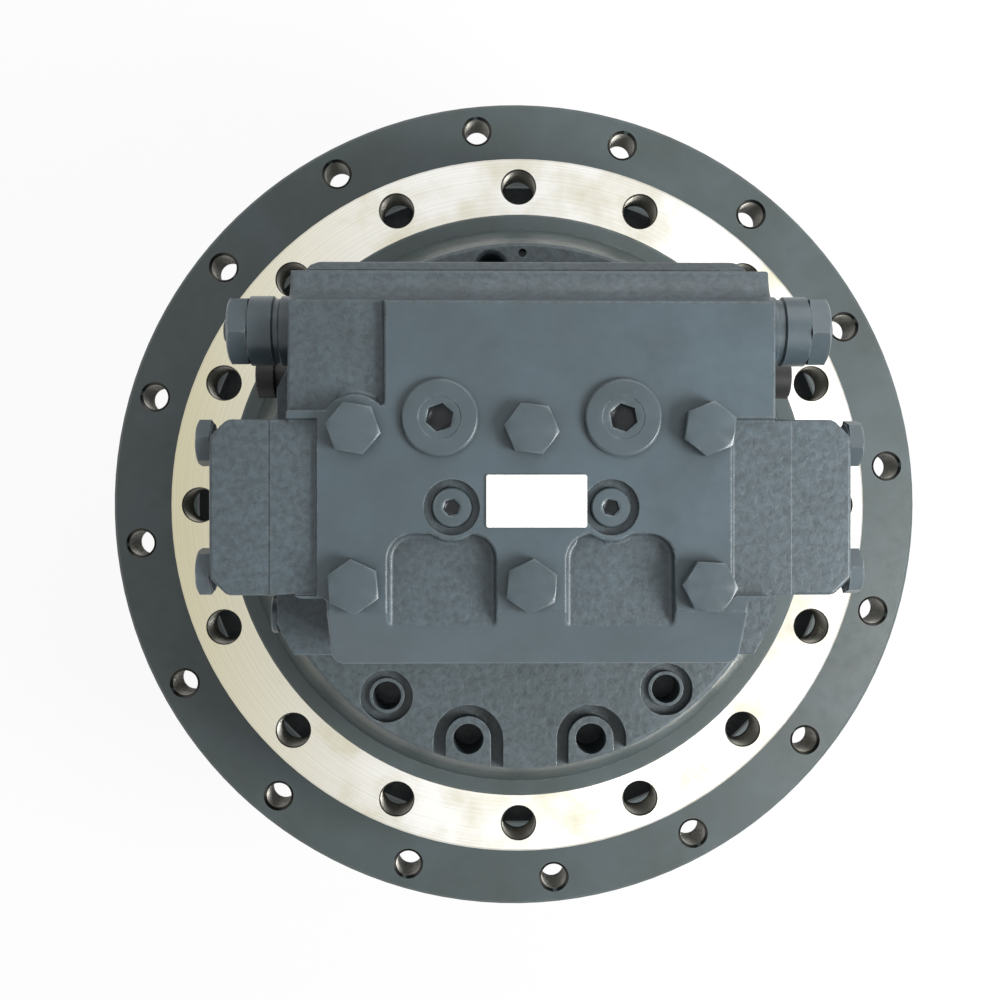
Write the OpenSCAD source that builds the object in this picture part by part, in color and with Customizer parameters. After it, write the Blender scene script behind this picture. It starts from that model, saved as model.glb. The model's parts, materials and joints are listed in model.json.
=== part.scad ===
// Travel motor of a tracked excavator: axial piston motor, parking brake, valve cover and a
// two-stage planetary reduction inside a rotating hub. Dimensions are in millimetres.
// The origin is the centre of the face that bolts to the track frame. +Z points out through
// the valve cover, and +Y points from its main ports to its relief valves.

/* [Frame flange] */
// Outer diameter of the flange that bolts to the track frame
frame_flange_d = 366; // [362:1:368]
// Thickness of the frame flange
frame_flange_t = 28; // [26:0.5:28]
// Diameter of the circle through the frame bolt holes
frame_bolt_circle_d = 336; // [334:1:338]
// Number of tapped frame bolt holes
frame_bolt_count = 16; // [12:1:18]
// Core diameter of a tapped frame bolt hole
frame_hole_d = 17.4; // [15:0.1:18]
// Diameter of the pilot that centres the motor in the frame
frame_pilot_d = 304; // [300:1:306]
// Height of that pilot
frame_pilot_h = 8; // [5:0.5:12]

/* [Hub] */
// Outer diameter of the flange that carries the sprocket
sprocket_flange_d = 460; // [456:1:480]
// Thickness of the sprocket flange
sprocket_flange_t = 30; // [24:1:34]
// Distance from the rim of the sprocket flange to the circle of its bolt holes
sprocket_bolt_inset = 14.5; // [13.5:0.5:15.5]
// Number of tapped sprocket bolt holes
sprocket_bolt_count = 16; // [12:1:20]
// Core diameter of a tapped sprocket bolt hole
sprocket_hole_d = 14; // [12:0.5:15]
// Turn of the sprocket holes at rest, in degrees
sprocket_bolt_turn = 5.9; // [0:0.1:22]
// Distance from the rim of the sprocket flange to the pilot that centres the sprocket
sprocket_pilot_inset = 30; // [28:0.5:32]
// Outer diameter of the hub drum
drum_d = 364; // [362:1:370]
// Diameter of the flat foot on the end cover
foot_d = 250; // [230:1:256]

/* [Gears] */
// Thinning of each gear tooth that leaves the backlash
tooth_thinning = 0.2; // [0.18:0.01:0.3]
// Face width of the first stage planets
planet_1_w = 30; // [26:0.5:30]
// Face width of the second stage planets
planet_2_w = 42; // [36:0.5:42]
// Diameter of the first stage planet pins
pin_1_d = 40; // [34:1:44]
// Diameter of the second stage planet pins
pin_2_d = 48; // [44:1:52]

/* [Piston motor] */
// Swash plate angle at low speed, in degrees
swash_angle = 15; // [12:0.5:15]
// Diameter of a piston
piston_d = 20; // [17:0.5:20]
// Diameter of the circle through the piston axes
piston_circle_d = 70; // [69:0.5:71]
// Number of pistons
piston_count = 9; // [7:2:9]
// Outer diameter of the cylinder block
barrel_d = 100; // [98:0.5:100]
// Number of brake friction discs
friction_disc_count = 4; // [2:1:4]
// Number of brake springs
brake_spring_count = 8; // [6:2:12]

/* [Valve cover] */
// Height of the cover from the case to its front face
cover_h = 115; // [114:0.5:118]
// Width of the valve block, without its two spool bosses
block_w = 194; // [190:1:196]
// Diameter of the counterbalance spool bore
spool_bore_d = 28; // [26:0.5:29]
// Length of a spool cap
spool_cap_l = 24; // [22:0.5:26]
// Core diameter of a main port
main_port_d = 30.3; // [26:0.1:30.5]
// Depth of a main port
main_port_depth = 25; // [20:0.5:27]
// Width of the bare nameplate
nameplate_w = 40; // [30:0.5:41]
// Height of the bare nameplate
nameplate_h = 21; // [16:0.5:22]

/* [Hidden] */
$fn = 96;

// Colours as the photograph shows them, and usual ones for what is inside
case_paint = "#4a5254";
cover_paint = "#5f6a73";
steel = "#a9adb0";
dark_steel = "#6c7175";
bronze = "#b08d4c";
rubber = "#1d1d1f";
cast_iron = "#7b7d7c";
label_white = "#f4f4f2";

// Clearances: a fit that runs, a joint of pieces bolted together, and an overshoot of cuts
run = 0.05;
seat = 0.02;
cut = 1;

// Levels along Z, from the gearbox end to the valve cover
foot_z = -285;
end_face_z = -276;
drum_end_z = -262;
spigot_z = -257;
carrier_1_z = [-218, -205];
carrier_2_z = [-153, -130];
bearing_z = [-116, -50];
bearing_lip_z = -146;
cup_z = -92;
shaft_seal_z = -106;
sprocket_face_z = -65;
hub_top_z = -32;
seal_plane_z = -30;
seal_pocket_z = [-45, -15];
front_z = 70;
cover_z = front_z + cover_h;

// Radii of the case and the bearing
frame_flange_r = frame_flange_d / 2;
frame_pilot_r = frame_pilot_d / 2;
sprocket_flange_r = sprocket_flange_d / 2;
sprocket_bolt_circle_r = sprocket_flange_r - sprocket_bolt_inset;
sprocket_pilot_r = sprocket_flange_r - sprocket_pilot_inset;
sprocket_pilot_h = 14;
drum_r = drum_d / 2;
hub_neck_r = drum_r - 6;
front_r = 126;
bearing_outer_r = 150;
spindle_r = bearing_outer_r - 35;
nose_r = spindle_r - 1;
shoulder_r = spindle_r + 9;
ball_r = 9.5;
ball_pitch_r = bearing_outer_r - 17.75;
ball_count = 26;
bearing_land = 5.25;
seal_bore_r = bearing_outer_r + 3.05;
seal_torus_r = seal_bore_r - 5.05;
seal_torus_section_r = 5;

// Gear data: module, tooth counts, profile shifts and centre distances
gear_m = 4;
pressure_angle = 20;
ring_teeth = 72;
sun_1_teeth = 12;
planet_1_teeth = 30;
sun_2_teeth = 16;
planet_2_teeth = 28;
sun_shift = 0.3;
planet_shift = -0.3;
planet_1_orbit_r = gear_m * (sun_1_teeth + planet_1_teeth) / 2;
planet_2_orbit_r = gear_m * (sun_2_teeth + planet_2_teeth) / 2;
planet_1_z = [-252, -252 + planet_1_w];
planet_2_z = [-198, -198 + planet_2_w];
flank_steps = 4;
quill_r = 10;
quill_spline_r = 11.5;
sun_2_root_r = 28.4;
sun_2_tip_r = 37.4;
carrier_2_r = planet_2_orbit_r + pin_2_d / 2 + 13;
ring_blank_r = 130;
ring_root_r = gear_m * ring_teeth / 2 + gear_m * (1.25 + planet_shift);
spigot_r = ring_root_r + 2.2;
end_bolt_circle_r = (spigot_r + drum_r) / 2;
end_bolt_count = 16;
end_bolt_turn = 11.25;
end_cover_r = drum_r - 4;
oil_plug_orbit_r = spigot_r - 5;
oil_plug_r = 9;
oil_plug_head = 4;
carrier_screw_z = -201;
carrier_counterbore_z = -182;

// Piston motor levels and radii
barrel_r = barrel_d / 2;
motor_cavity_r = barrel_r + 7.5;
pivot_y = 26;
pivot_x = 42;
pivot_z = -49;
pivot_ball_r = 7;
swash_face = 10;
swash_back = 1;
swash_r = barrel_r + 2;
swash_floor_z = -70;
swash_centre = (swash_face * sin(swash_angle) - pivot_y) / cos(swash_angle);
swash_high_z = pivot_z + (swash_centre + swash_r) * sin(swash_angle) + swash_face * cos(swash_angle);
shoe_z = swash_high_z + 0.3;
piston_ball_z = shoe_z + 8;
barrel_z = [-16, 63.8];
piston_orbit_r = piston_circle_d / 2;
control_piston_y = -46;
control_piston_r = 8;
shaft_r = 16;
brake_floor_z = 20;
brake_bore_z = 48;
brake_bore_r = barrel_r + 15;
brake_slot_r = barrel_r + 14.5;
brake_wall_r = barrel_r + 10.5;
brake_lug_w = 15.6;
brake_pitch = 5.9;
brake_piston_z = 62;
brake_spring_orbit_r = barrel_r + 8;
brake_spring_turn = 22.5;
brake_spring_bore_r = 4.4;
brake_spring_z = [52, 78];
block_seal_r = brake_bore_r + 3.1;
block_seal_section_r = 1.2;
valve_plate_z = 64;
kidney_half_angle = 60;

// Valve cover places, looking down on its front face
base_r = 125;
base_t = 30;
base_x = [12 - base_r, base_r - 10];
base_y = [57 - base_r, base_r - 17];
block_z = 88;
block_x = block_w / 2;
boss_x = block_x + 7;
boss_z = cover_z - 2.5;
block_y = [-64.5, 96];
ledge_y = 108;
face_y = [-42, 82];
spool_y = 0;
spool_z = 147;
spool_bore_r = spool_bore_d / 2;
cap_z = [112, 182];
cap_y = 35;
cap_wall = 7;
cap_bolt_y = 26;
cap_bolt_dz = 22;
relief_y = 73.5;
relief_z = 152;
relief_hex = 27;
cover_bolt = [brake_bore_r + 5, 31];
check_valve = [36.3, 35.5];
gauge_plug_x = 31.6;
motor_line_x = 36.3;
work_line_x = 60;
port_z = 118;
cross_line_z = 97;
two_speed_y = -50;
two_speed_z = 90;
two_speed_r = 6.5;
two_speed_face_x = base_x[0];
two_speed_end_x = -20;
drain_y = 60;
drain_z = 88;
drain_flange_r = 10;
drain_face_x = sqrt(base_r * base_r - drain_y * drain_y);

// Turned body from an outline of radius and height
module turned(outline) rotate_extrude() polygon(outline);

// Upright cylinder between two levels
module rod(r, z0, z1) translate([0, 0, z0]) cylinder(r = r, h = z1 - z0);

// Upright ring between two levels
module ring(r_in, r_out, z0, z1) difference() {
    rod(r_out, z0, z1);
    rod(r_in, z0 - cut, z1 + cut);
}

// Round bar along X from x0 to x1
module bar_x(r, x0, x1, y, z) translate([x0, y, z]) rotate([0, 90, 0]) cylinder(r = r, h = x1 - x0);

// Round bar along Y from y0 to y1
module bar_y(r, y0, y1, x, z) translate([x, y0, z]) rotate([-90, 0, 0]) cylinder(r = r, h = y1 - y0);

// Copies spaced evenly around Z
module around(count, r, start = 0) {
    for (i = [0 : count - 1]) rotate(start + i * 360 / count) translate([r, 0, 0]) children();
}

// Copies at the four corners of a rectangle
module at_corners(x, y) for (sx = [-1, 1], sy = [-1, 1]) translate([sx * x, sy * y, 0]) children();

// Left and right copies
module both_sides() for (side = [0, 1]) mirror([side, 0, 0]) children();

// Flat rectangle with rounded corners
module rounded_rect(x0, y0, x1, y1, r) {
    translate([x0 + r, y0]) square([x1 - x0 - 2 * r, y1 - y0]);
    translate([x0, y0 + r]) square([x1 - x0, y1 - y0 - 2 * r]);
    for (x = [x0 + r, x1 - r], y = [y0 + r, y1 - r]) translate([x, y]) circle(r = r);
}

// Hexagonal prism with chamfered corners on its free end
module hex_head(across_flats, h) intersection() {
    cylinder(d = across_flats / cos(30), h = h, $fn = 6);
    turned([
        [0, 0], [across_flats, 0], [across_flats, h * 0.3],
        [across_flats * 0.47, h], [0, h],
    ]);
}

// Hexagon bolt: the underside of its head lies at z = 0
module hex_bolt(r, shank_l, across_flats, head_h) {
    hex_head(across_flats, head_h);
    translate([0, 0, -shank_l]) cylinder(r = r, h = shank_l);
}

// Blind hexagon socket, cut downwards from z = 0
module hex_socket(across_flats, depth) translate([0, 0, -depth]) {
    cylinder(d = across_flats / cos(30), h = depth + cut, $fn = 6);
}

// Tapped hole down from z = 0, with its countersunk mouth
module tapped_hole(r, depth) {
    translate([0, 0, -depth]) cylinder(r = r, h = depth + cut);
    translate([0, 0, -1.6]) cylinder(r1 = r, r2 = r + 1.6, h = 1.6);
    cylinder(r = r + 1.6, h = cut);
}

// Close-wound coil along Z, from z0 to z1, with its wire rounded by a few flats
module coil(outer_r, wire_d, z0, z1) {
    turns = floor((z1 - z0) / wire_d);
    pitch = (z1 - z0) / turns;
    mid_r = outer_r - wire_d / 2;
    bulge = [[-0.5, 0.3], [-0.25, 0.5], [0.25, 0.5], [0.5, 0.3]];
    outer = [
        for (i = [0 : turns - 1], b = bulge)
            [mid_r + b[1] * wire_d, z0 + (i + 0.5 + b[0]) * pitch]
    ];
    inner = [
        for (i = [turns - 1 : -1 : 0], b = bulge)
            [mid_r - b[1] * wire_d, z0 + (i + 0.5 - b[0]) * pitch]
    ];
    turned([
        for (i = [0 : len(outer) - 1]) if (i == 0 || outer[i] != outer[i - 1]) outer[i],
        for (i = [0 : len(inner) - 1]) if (i == 0 || inner[i] != inner[i - 1]) inner[i],
    ]);
}

// Rubber ring with a round section, lying flat
module o_ring(r, section_r, z) translate([0, 0, z]) rotate_extrude() {
    translate([r, 0]) circle(r = section_r, $fn = 32);
}

// Point at a radius and an angle
function polar(r, a) = [r * cos(a), r * sin(a)];

// Involute of an angle, in degrees
function involute(a) = tan(a) * 180 / PI - a;

// Half the angle that a gear tooth spans at radius r, in degrees
function half_tooth(teeth, shift, thinning, r) =
    let (
        pitch_r = gear_m * teeth / 2,
        base_r = pitch_r * cos(pressure_angle),
        width = gear_m * (PI / 2 + 2 * shift * tan(pressure_angle)) - thinning,
        angle = r > base_r ? acos(base_r / r) : 0
    )
    width / (2 * pitch_r) * 180 / PI + involute(pressure_angle) - involute(angle);

// Outline of an involute gear between its root and tip radii
function gear_outline(teeth, shift, thinning, root_r, tip_r) =
    let (
        base_r = gear_m * teeth / 2 * cos(pressure_angle),
        start_r = max(root_r, base_r + 0.01),
        radii = [for (i = [0 : flank_steps]) start_r + (tip_r - start_r) * i / flank_steps],
        half = [for (r = radii) half_tooth(teeth, shift, thinning, r)],
        foot = root_r < start_r ? [root_r] : []
    )
    [for (k = [0 : teeth - 1])
        let (mid = k * 360 / teeth)
        each concat(
            [for (r = foot) polar(r, mid - half[0])],
            [for (i = [0 : flank_steps]) polar(radii[i], mid - half[i])],
            [for (i = [flank_steps : -1 : 0]) polar(radii[i], mid + half[i])],
            [for (r = foot) polar(r, mid + half[0])]
        )
    ];

// External gear between two levels, with a tooth on +X
module gear(teeth, shift, z0, z1) {
    pitch_r = gear_m * teeth / 2;
    translate([0, 0, z0]) linear_extrude(z1 - z0) polygon(gear_outline(
        teeth, shift, tooth_thinning,
        pitch_r - gear_m * (1.25 - shift), pitch_r + gear_m * (1 + shift)
    ));
}

// Outline of straight-sided splines, grown by a clearance
function spline_outline(count, r_in, r_out, grow = 0) = [
    for (k = [0 : count - 1])
        let (mid = k * 360 / count, at_root = 115 / count, at_tip = 75 / count)
        each [
            polar(r_in + grow, mid - at_root - grow * 57 / r_in),
            polar(r_out + grow, mid - at_tip - grow * 57 / r_out),
            polar(r_out + grow, mid + at_tip + grow * 57 / r_out),
            polar(r_in + grow, mid + at_root + grow * 57 / r_in),
        ]
];

// Splined bar between two levels
module splined(count, r_in, r_out, z0, z1, grow = 0) translate([0, 0, z0]) {
    linear_extrude(z1 - z0) polygon(spline_outline(count, r_in, r_out, grow));
}

// Places and turns a planet so that it meshes with the ring gear at rest
module on_orbit(r, angle, planet_teeth) rotate(angle) translate([r, 0, 0]) {
    rotate(-angle * ring_teeth / planet_teeth) children();
}

// Frame of the swash plate: its pivot axis is X, and its running face lies at swash_face
module in_swash_frame() translate([0, pivot_y, pivot_z]) rotate([swash_angle, 0, 0]) children();

// Spindle, frame flange and motor housing in one casting
module motor_case() color(case_paint) difference() {
    union() {
        difference() {
            turned([
                [0, carrier_2_z[1]], [nose_r - 2, carrier_2_z[1]], [nose_r, carrier_2_z[1] + 2],
                [nose_r, bearing_z[0]], [spindle_r, bearing_z[0]], [spindle_r, bearing_z[1]],
                [shoulder_r, bearing_z[1]], [shoulder_r, seal_pocket_z[1]],
                [seal_bore_r, seal_pocket_z[1]],
                [seal_bore_r, -frame_flange_t], [frame_flange_r - 2, -frame_flange_t],
                [frame_flange_r, 2 - frame_flange_t], [frame_flange_r, -1], [frame_flange_r - 1, 0],
                [frame_pilot_r, 0], [frame_pilot_r, frame_pilot_h - 1],
                [frame_pilot_r - 1, frame_pilot_h], [front_r + 18, frame_pilot_h],
                [front_r + 11, 24], [front_r + 1, 62], [front_r, 68.5],
                [front_r - 1.5, front_z], [0, front_z],
            ]);
            turned([
                [0, carrier_2_z[1] - cut], [21, carrier_2_z[1] - cut], [21, shaft_seal_z],
                [28, shaft_seal_z], [28, cup_z], [34, cup_z], [34, swash_floor_z],
                [motor_cavity_r, swash_floor_z], [motor_cavity_r, brake_floor_z],
                [brake_wall_r, brake_floor_z], [brake_wall_r, brake_bore_z],
                [brake_bore_r, brake_bore_z], [brake_bore_r, front_z + cut], [0, front_z + cut],
            ]);
        }
        intersection() {
            for (side = [-1, 1]) translate([side * pivot_x, pivot_y, 0]) {
                rod(8.5, swash_floor_z - cut, pivot_z - 2);
            }
            rod(motor_cavity_r + 0.5, swash_floor_z - cut, pivot_z);
        }
    }
    both_sides() translate([pivot_x, pivot_y, pivot_z]) sphere(r = pivot_ball_r + seat, $fn = 48);
    around(4, 0) translate([0, -brake_lug_w / 2 - 0.2, brake_floor_z]) {
        cube([brake_slot_r, brake_lug_w + 0.4, brake_bore_z - brake_floor_z]);
    }
    translate([0, control_piston_y, 0]) rod(control_piston_r + run, -100, swash_floor_z + cut);
    around(frame_bolt_count, frame_bolt_circle_d / 2, 90) {
        rod(frame_hole_d / 2, -frame_flange_t - cut, cut);
    }
    around(4, planet_2_orbit_r) rod(10 + run, carrier_2_z[1] - cut, -98);
    ring(block_seal_r - 1.6, block_seal_r + 1.6, front_z - 2 * block_seal_section_r, front_z + cut);
    translate([0, 0, front_z]) {
        at_corners(cover_bolt.x, cover_bolt.y) translate([0, 0, -26]) cylinder(r = 6 + run, h = 26 + cut);
        for (place = [[-65, -91], [69, -88]]) translate(place) spotfaced_port();
        for (x = [-26, 33]) translate([x, -112]) slotted_port();
        translate([-15, 114, 0]) tapped_hole(6.7, 24);
        translate([0, 121, -5]) cylinder(r = 2, h = 5 + cut, $fn = 32);
    }
}

// Small port in a deep round spot face, with a low collar around its mouth
module spotfaced_port() {
    translate([0, 0, -22]) cylinder(r = 6.7, h = 22 + cut, $fn = 48);
    difference() {
        translate([0, 0, -5]) cylinder(r = 12.4, h = 5 + cut, $fn = 64);
        translate([0, 0, -6]) cylinder(r = 8.6, h = 3.5, $fn = 48);
    }
}

// Port on a low pad, in a pocket that opens to the rim of the case
module slotted_port() {
    translate([0, 0, -30]) cylinder(r = 7.2, h = 30 + cut, $fn = 48);
    difference() {
        translate([0, 0, -9]) linear_extrude(9 + cut) slot_outline(16.6);
        translate([0, 0, -10]) linear_extrude(7) slot_outline(11);
    }
}

// Half circle that runs straight on towards the rim
module slot_outline(r) {
    circle(r = r, $fn = 64);
    translate([-r, -30]) square([2 * r, 30]);
}

// Valve cover casting with its bores and oil passages
module rear_cover() color(cover_paint) difference() {
    union() {
        translate([0, 0, front_z]) linear_extrude(base_t) intersection() {
            circle(r = base_r);
            translate([base_x[0], base_y[0]]) square([base_x[1] - base_x[0], base_y[1] - base_y[0]]);
        }
        intersection() {
            translate([0, 0, block_z]) linear_extrude(cover_z - block_z) {
                rounded_rect(-block_x, -36, block_x, ledge_y, 7);
                rounded_rect(-81, block_y[0], 86, 0, 5);
            }
            block_side_profile();
        }
        both_sides() translate([block_x - 12, -cap_y, cap_z[0]]) {
            cube([boss_x - block_x + 12, 2 * cap_y, boss_z - cap_z[0]]);
        }
    }
    cover_face_details();
    cover_bores();
    cover_passages();
}

// Side view of the valve block with its ledge, scoop and chamfer, across the full width
module block_side_profile() translate([-block_x - cut, 0, 0]) rotate([90, 0, 90]) {
    scoop_r = block_y[1] - face_y[1];
    linear_extrude(block_w + 2 * cut) difference() {
        polygon([
            [block_y[0], 0], [ledge_y, 0], [ledge_y, 121], [ledge_y - 4, 125], [block_y[1], 125],
            [block_y[1], cover_z], [face_y[0], cover_z], [block_y[0], cover_z - 22.5],
        ]);
        translate([block_y[1], cover_z]) circle(r = scoop_r, $fn = 48);
    }
}

// Rough-cast recesses in the front face
module cover_face_details() {
    for (side = [-1, 1]) translate([0, 0, cover_z - 6]) linear_extrude(6 + cut) difference() {
        translate([side * 35.5, 0]) {
            translate([-21.3, -50]) square([42.6, 29.3]);
            rounded_rect(-21.3, -46, 21.3, -10.7, 10);
        }
        translate([side * gauge_plug_x, 0]) circle(r = 13.5);
    }
    translate([0, 0, cover_z - 4]) linear_extrude(5) difference() {
        rounded_rect(-block_x - 9, 38.7, -58.5, 120, 4);
        translate([-cover_bolt.x, cover_bolt.y]) circle(r = 14);
    }
    translate([block_x - 17, -cap_y, boss_z]) cube([20, 2 * cap_y, 5]);
    translate([-block_x - 3, -cap_y, boss_z]) cube([15, 2 * cap_y, 5]);
}

// Bores for bolts, plugs, spools and bearings
module cover_bores() {
    at_corners(cover_bolt.x, cover_bolt.y) rod(6.5, front_z - cut, cover_z + cut);
    for (side = [-1, 1]) {
        translate([0, side * cover_bolt.y, 0]) {
            rod(7 + seat, cover_z - 15, cover_z + cut);
            rod(4, 152, cover_z);
        }
        translate([side * gauge_plug_x, 0, 0]) {
            rod(11, cover_z - 3.5, cover_z + cut);
            rod(7.9 + seat, cover_z - 13, cover_z);
            rod(3, spool_z, cover_z - 10);
        }
        translate([side * check_valve.x, check_valve.y, 0]) {
            rod(13 + seat, 165, cover_z + cut);
            rod(11, 112, 166);
            rod(8, cross_line_z, 113);
        }
    }
    bar_x(spool_bore_r, -boss_x - cut, boss_x + cut, spool_y, spool_z);
    both_sides() {
        bar_x(11 + seat, 46, block_x + cut, relief_y, relief_z);
        bar_x(8.3, drain_face_x - 19, drain_face_x + 20, drain_y, drain_z);
        for (y = [-1, 1], z = [-1, 1]) {
            bar_x(5 + run, boss_x - 22, boss_x + cut, y * cap_bolt_y, spool_z + z * cap_bolt_dz);
        }
    }
    bar_x(two_speed_r, two_speed_face_x - cut, two_speed_end_x, two_speed_y, two_speed_z);
    bar_x(7, two_speed_face_x - cut, two_speed_face_x + 12, two_speed_y, two_speed_z);
    bar_x(5.8, 98, 116, two_speed_y, two_speed_z);
    bar_x(3, two_speed_end_x - cut, 99, two_speed_y, two_speed_z);
    bar_x(9.5, 112, 130, two_speed_y, two_speed_z);
    rod(24 + seat, front_z - cut, 92);
    around(brake_spring_count, brake_spring_orbit_r, brake_spring_turn) {
        rod(brake_spring_bore_r, front_z - cut, brake_spring_z[1]);
    }
}

// Oil passages: main port to check valve, check valve to motor, and the spool connections
module cover_passages() for (side = [-1, 1]) {
    bar_y(main_port_d / 2, block_y[0] - cut, block_y[0] + main_port_depth, side * motor_line_x, port_z);
    bar_y(8, block_y[0], check_valve.y, side * motor_line_x, port_z);
    bar_y(6, 0, check_valve.y, side * motor_line_x, cross_line_z);
    translate([side * motor_line_x, 0, 0]) {
        rod(8, front_z - cut, cross_line_z + 5);
        rod(6, port_z, spool_z);
    }
    translate([side * work_line_x, 0, 0]) rod(6, cross_line_z, spool_z);
    bar_x(6, min(side * motor_line_x, side * work_line_x), max(side * motor_line_x, side * work_line_x),
        0, cross_line_z);
}

// Rubber rings between the case, the cover and the spool caps
module cover_seals() color(rubber) {
    o_ring(block_seal_r, block_seal_section_r, front_z - block_seal_section_r);
    both_sides() translate([boss_x, 0, spool_z]) rotate([0, 90, 0]) o_ring(17.6, 1.1, 1.1 + seat);
}

// Hexagon bolts that hold the cover to the case
module cover_bolts() color(dark_steel) at_corners(cover_bolt.x, cover_bolt.y) {
    translate([0, 0, cover_z]) hex_bolt(6, cover_h + 24, 19, 7.5);
}

// Hexagon plugs on the centre line, and sunk gauge plugs beside the nameplate
module passage_plugs() color(dark_steel) for (side = [-1, 1]) {
    translate([0, side * cover_bolt.y, cover_z]) hex_bolt(7, 14, 19, 6);
    translate([side * gauge_plug_x, 0, cover_z - 1]) difference() {
        translate([0, 0, -11]) cylinder(r = 7.9, h = 11, $fn = 48);
        hex_socket(6, 5);
    }
}

// Large socket plugs over the check valves
module check_valve_plugs() color(dark_steel) both_sides() {
    translate([check_valve.x, check_valve.y, 0]) difference() {
        turned([
            [0, 168], [12, 168], [13, 169], [13, cover_z], [15.5, cover_z],
            [15.5, cover_z + 1.6], [14.5, cover_z + 2.6], [0, cover_z + 2.6],
        ]);
        translate([0, 0, cover_z + 2.6]) hex_socket(10, 9);
        rod(7, 168 - cut, 172);
    }
}

// Cone-nosed check valve poppets, closed on their seats
module check_poppets() color(steel) both_sides() {
    translate([check_valve.x, check_valve.y, 0]) difference() {
        turned([
            [0, 107.5], [4.5, 107.5], [7.8, 112], [7.8, 112.3], [11 - run, 116],
            [11 - run, 150], [0, 150],
        ]);
        rod(7, 128, 150 + cut);
    }
}

// Caps over the two ends of the counterbalance spool
module spool_caps() color(cover_paint) both_sides() difference() {
    translate([0, 0, cap_z[0]]) linear_extrude(cap_z[1] - cap_z[0]) polygon([
        [boss_x, -cap_y], [boss_x + spool_cap_l - 7, -cap_y], [boss_x + spool_cap_l, 7 - cap_y],
        [boss_x + spool_cap_l, cap_y - 7], [boss_x + spool_cap_l - 7, cap_y], [boss_x, cap_y],
    ]);
    bar_x(12.5, boss_x - cut, boss_x + spool_cap_l - cap_wall, spool_y, spool_z);
    difference() {
        bar_x(18.8, boss_x - cut, boss_x + 2.25, spool_y, spool_z);
        bar_x(16.4, boss_x - 2 * cut, boss_x + 3, spool_y, spool_z);
    }
    for (y = [-1, 1], z = [-1, 1]) {
        bar_x(5.5, boss_x - cut, boss_x + spool_cap_l + cut, y * cap_bolt_y, spool_z + z * cap_bolt_dz);
    }
}

// Hexagon bolts that hold the spool caps
module cap_bolts() color(dark_steel) both_sides() for (y = [-1, 1], z = [-1, 1]) {
    translate([boss_x + spool_cap_l, y * cap_bolt_y, spool_z + z * cap_bolt_dz]) rotate([0, 90, 0]) {
        hex_bolt(5, spool_cap_l + 20, 17, 6.4);
    }
}

// Relief valve cartridges, screwed into both sides of the block
module relief_valves() color(dark_steel) both_sides() {
    bar_x(11, 54, block_x, relief_y, relief_z);
    bar_x(6, 48, 54, relief_y, relief_z);
    bar_x(relief_hex / 2 + 1, block_x, block_x + 19, relief_y, relief_z);
    translate([block_x + 19, relief_y, relief_z]) rotate([0, 90, 0]) {
        hex_head(relief_hex, 8.5);
        cylinder(r = 5, h = 11);
    }
}

// Plastic plugs that close the two drain ports
module port_plugs() color(rubber) both_sides() {
    bar_x(8, drain_face_x - 15, drain_face_x + 2.5, drain_y, drain_z);
    bar_x(7.2, drain_face_x, drain_face_x + 6, drain_y, drain_z);
    bar_x(drain_flange_r, drain_face_x + 5, drain_face_x + 13.5, drain_y, drain_z);
}

// Bare plate where the name would be
module nameplate() color(label_white) translate([2, 2.5, cover_z]) linear_extrude(0.8) {
    rounded_rect(-nameplate_w / 2, -nameplate_h / 2, nameplate_w / 2, nameplate_h / 2, 1);
}

// Counterbalance spool in its middle position
module counterbalance_spool() color(steel) translate([0, spool_y, spool_z]) rotate([0, 90, 0]) {
    land_r = spool_bore_r - run;
    rod(9, -79, 79);
    rod(land_r, -12, 12);
    for (side = [-1, 1]) {
        for (land = [[42, 54], [66, 80]]) {
            rod(land_r, min(side * land[0], side * land[1]), max(side * land[0], side * land[1]));
        }
    }
}

// Centring springs at both ends of that spool
module counterbalance_springs() color(dark_steel) both_sides() {
    translate([0, spool_y, spool_z]) rotate([0, 90, 0]) {
        coil(11, 3, 80.1, boss_x + spool_cap_l - cap_wall - 0.1);
    }
}

// Two-speed selector spool
module two_speed_spool() color(steel) translate([0, two_speed_y, two_speed_z]) rotate([0, 90, 0]) {
    start = two_speed_face_x + 14;
    rod(4, start, start + 54);
    for (z0 = [start, start + 19, start + 41]) rod(two_speed_r - run, z0, z0 + 9);
}

// Return spring of the two-speed spool
module two_speed_spring() color(dark_steel) translate([0, two_speed_y, two_speed_z]) {
    rotate([0, 90, 0]) coil(5.5, 1.6, two_speed_face_x + 68.1, two_speed_end_x - 0.1);
}

// Socket plug that closes the two-speed bore
module spool_plug() color(dark_steel) translate([two_speed_face_x, two_speed_y, two_speed_z]) {
    rotate([0, -90, 0]) difference() {
        turned([[0, -11.5], [7 - seat, -11.5], [7 - seat, 0], [8.6, 0], [8.6, 2.4], [8, 3], [0, 3]]);
        translate([0, 0, 3]) hex_socket(6, 6);
    }
}

// Port plate with two kidney slots between the cover and the cylinder block
module valve_plate() color(bronze) translate([0, 0, valve_plate_z]) {
    linear_extrude(front_z - valve_plate_z) difference() {
        circle(r = barrel_r - 4);
        circle(r = 23);
        both_sides() intersection() {
            difference() {
                circle(r = piston_orbit_r + 3);
                circle(r = piston_orbit_r - 5);
            }
            polygon([
                [0, 0], polar(barrel_d, -kidney_half_angle), [barrel_d, 0],
                polar(barrel_d, kidney_half_angle),
            ]);
        }
    }
}

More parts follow.
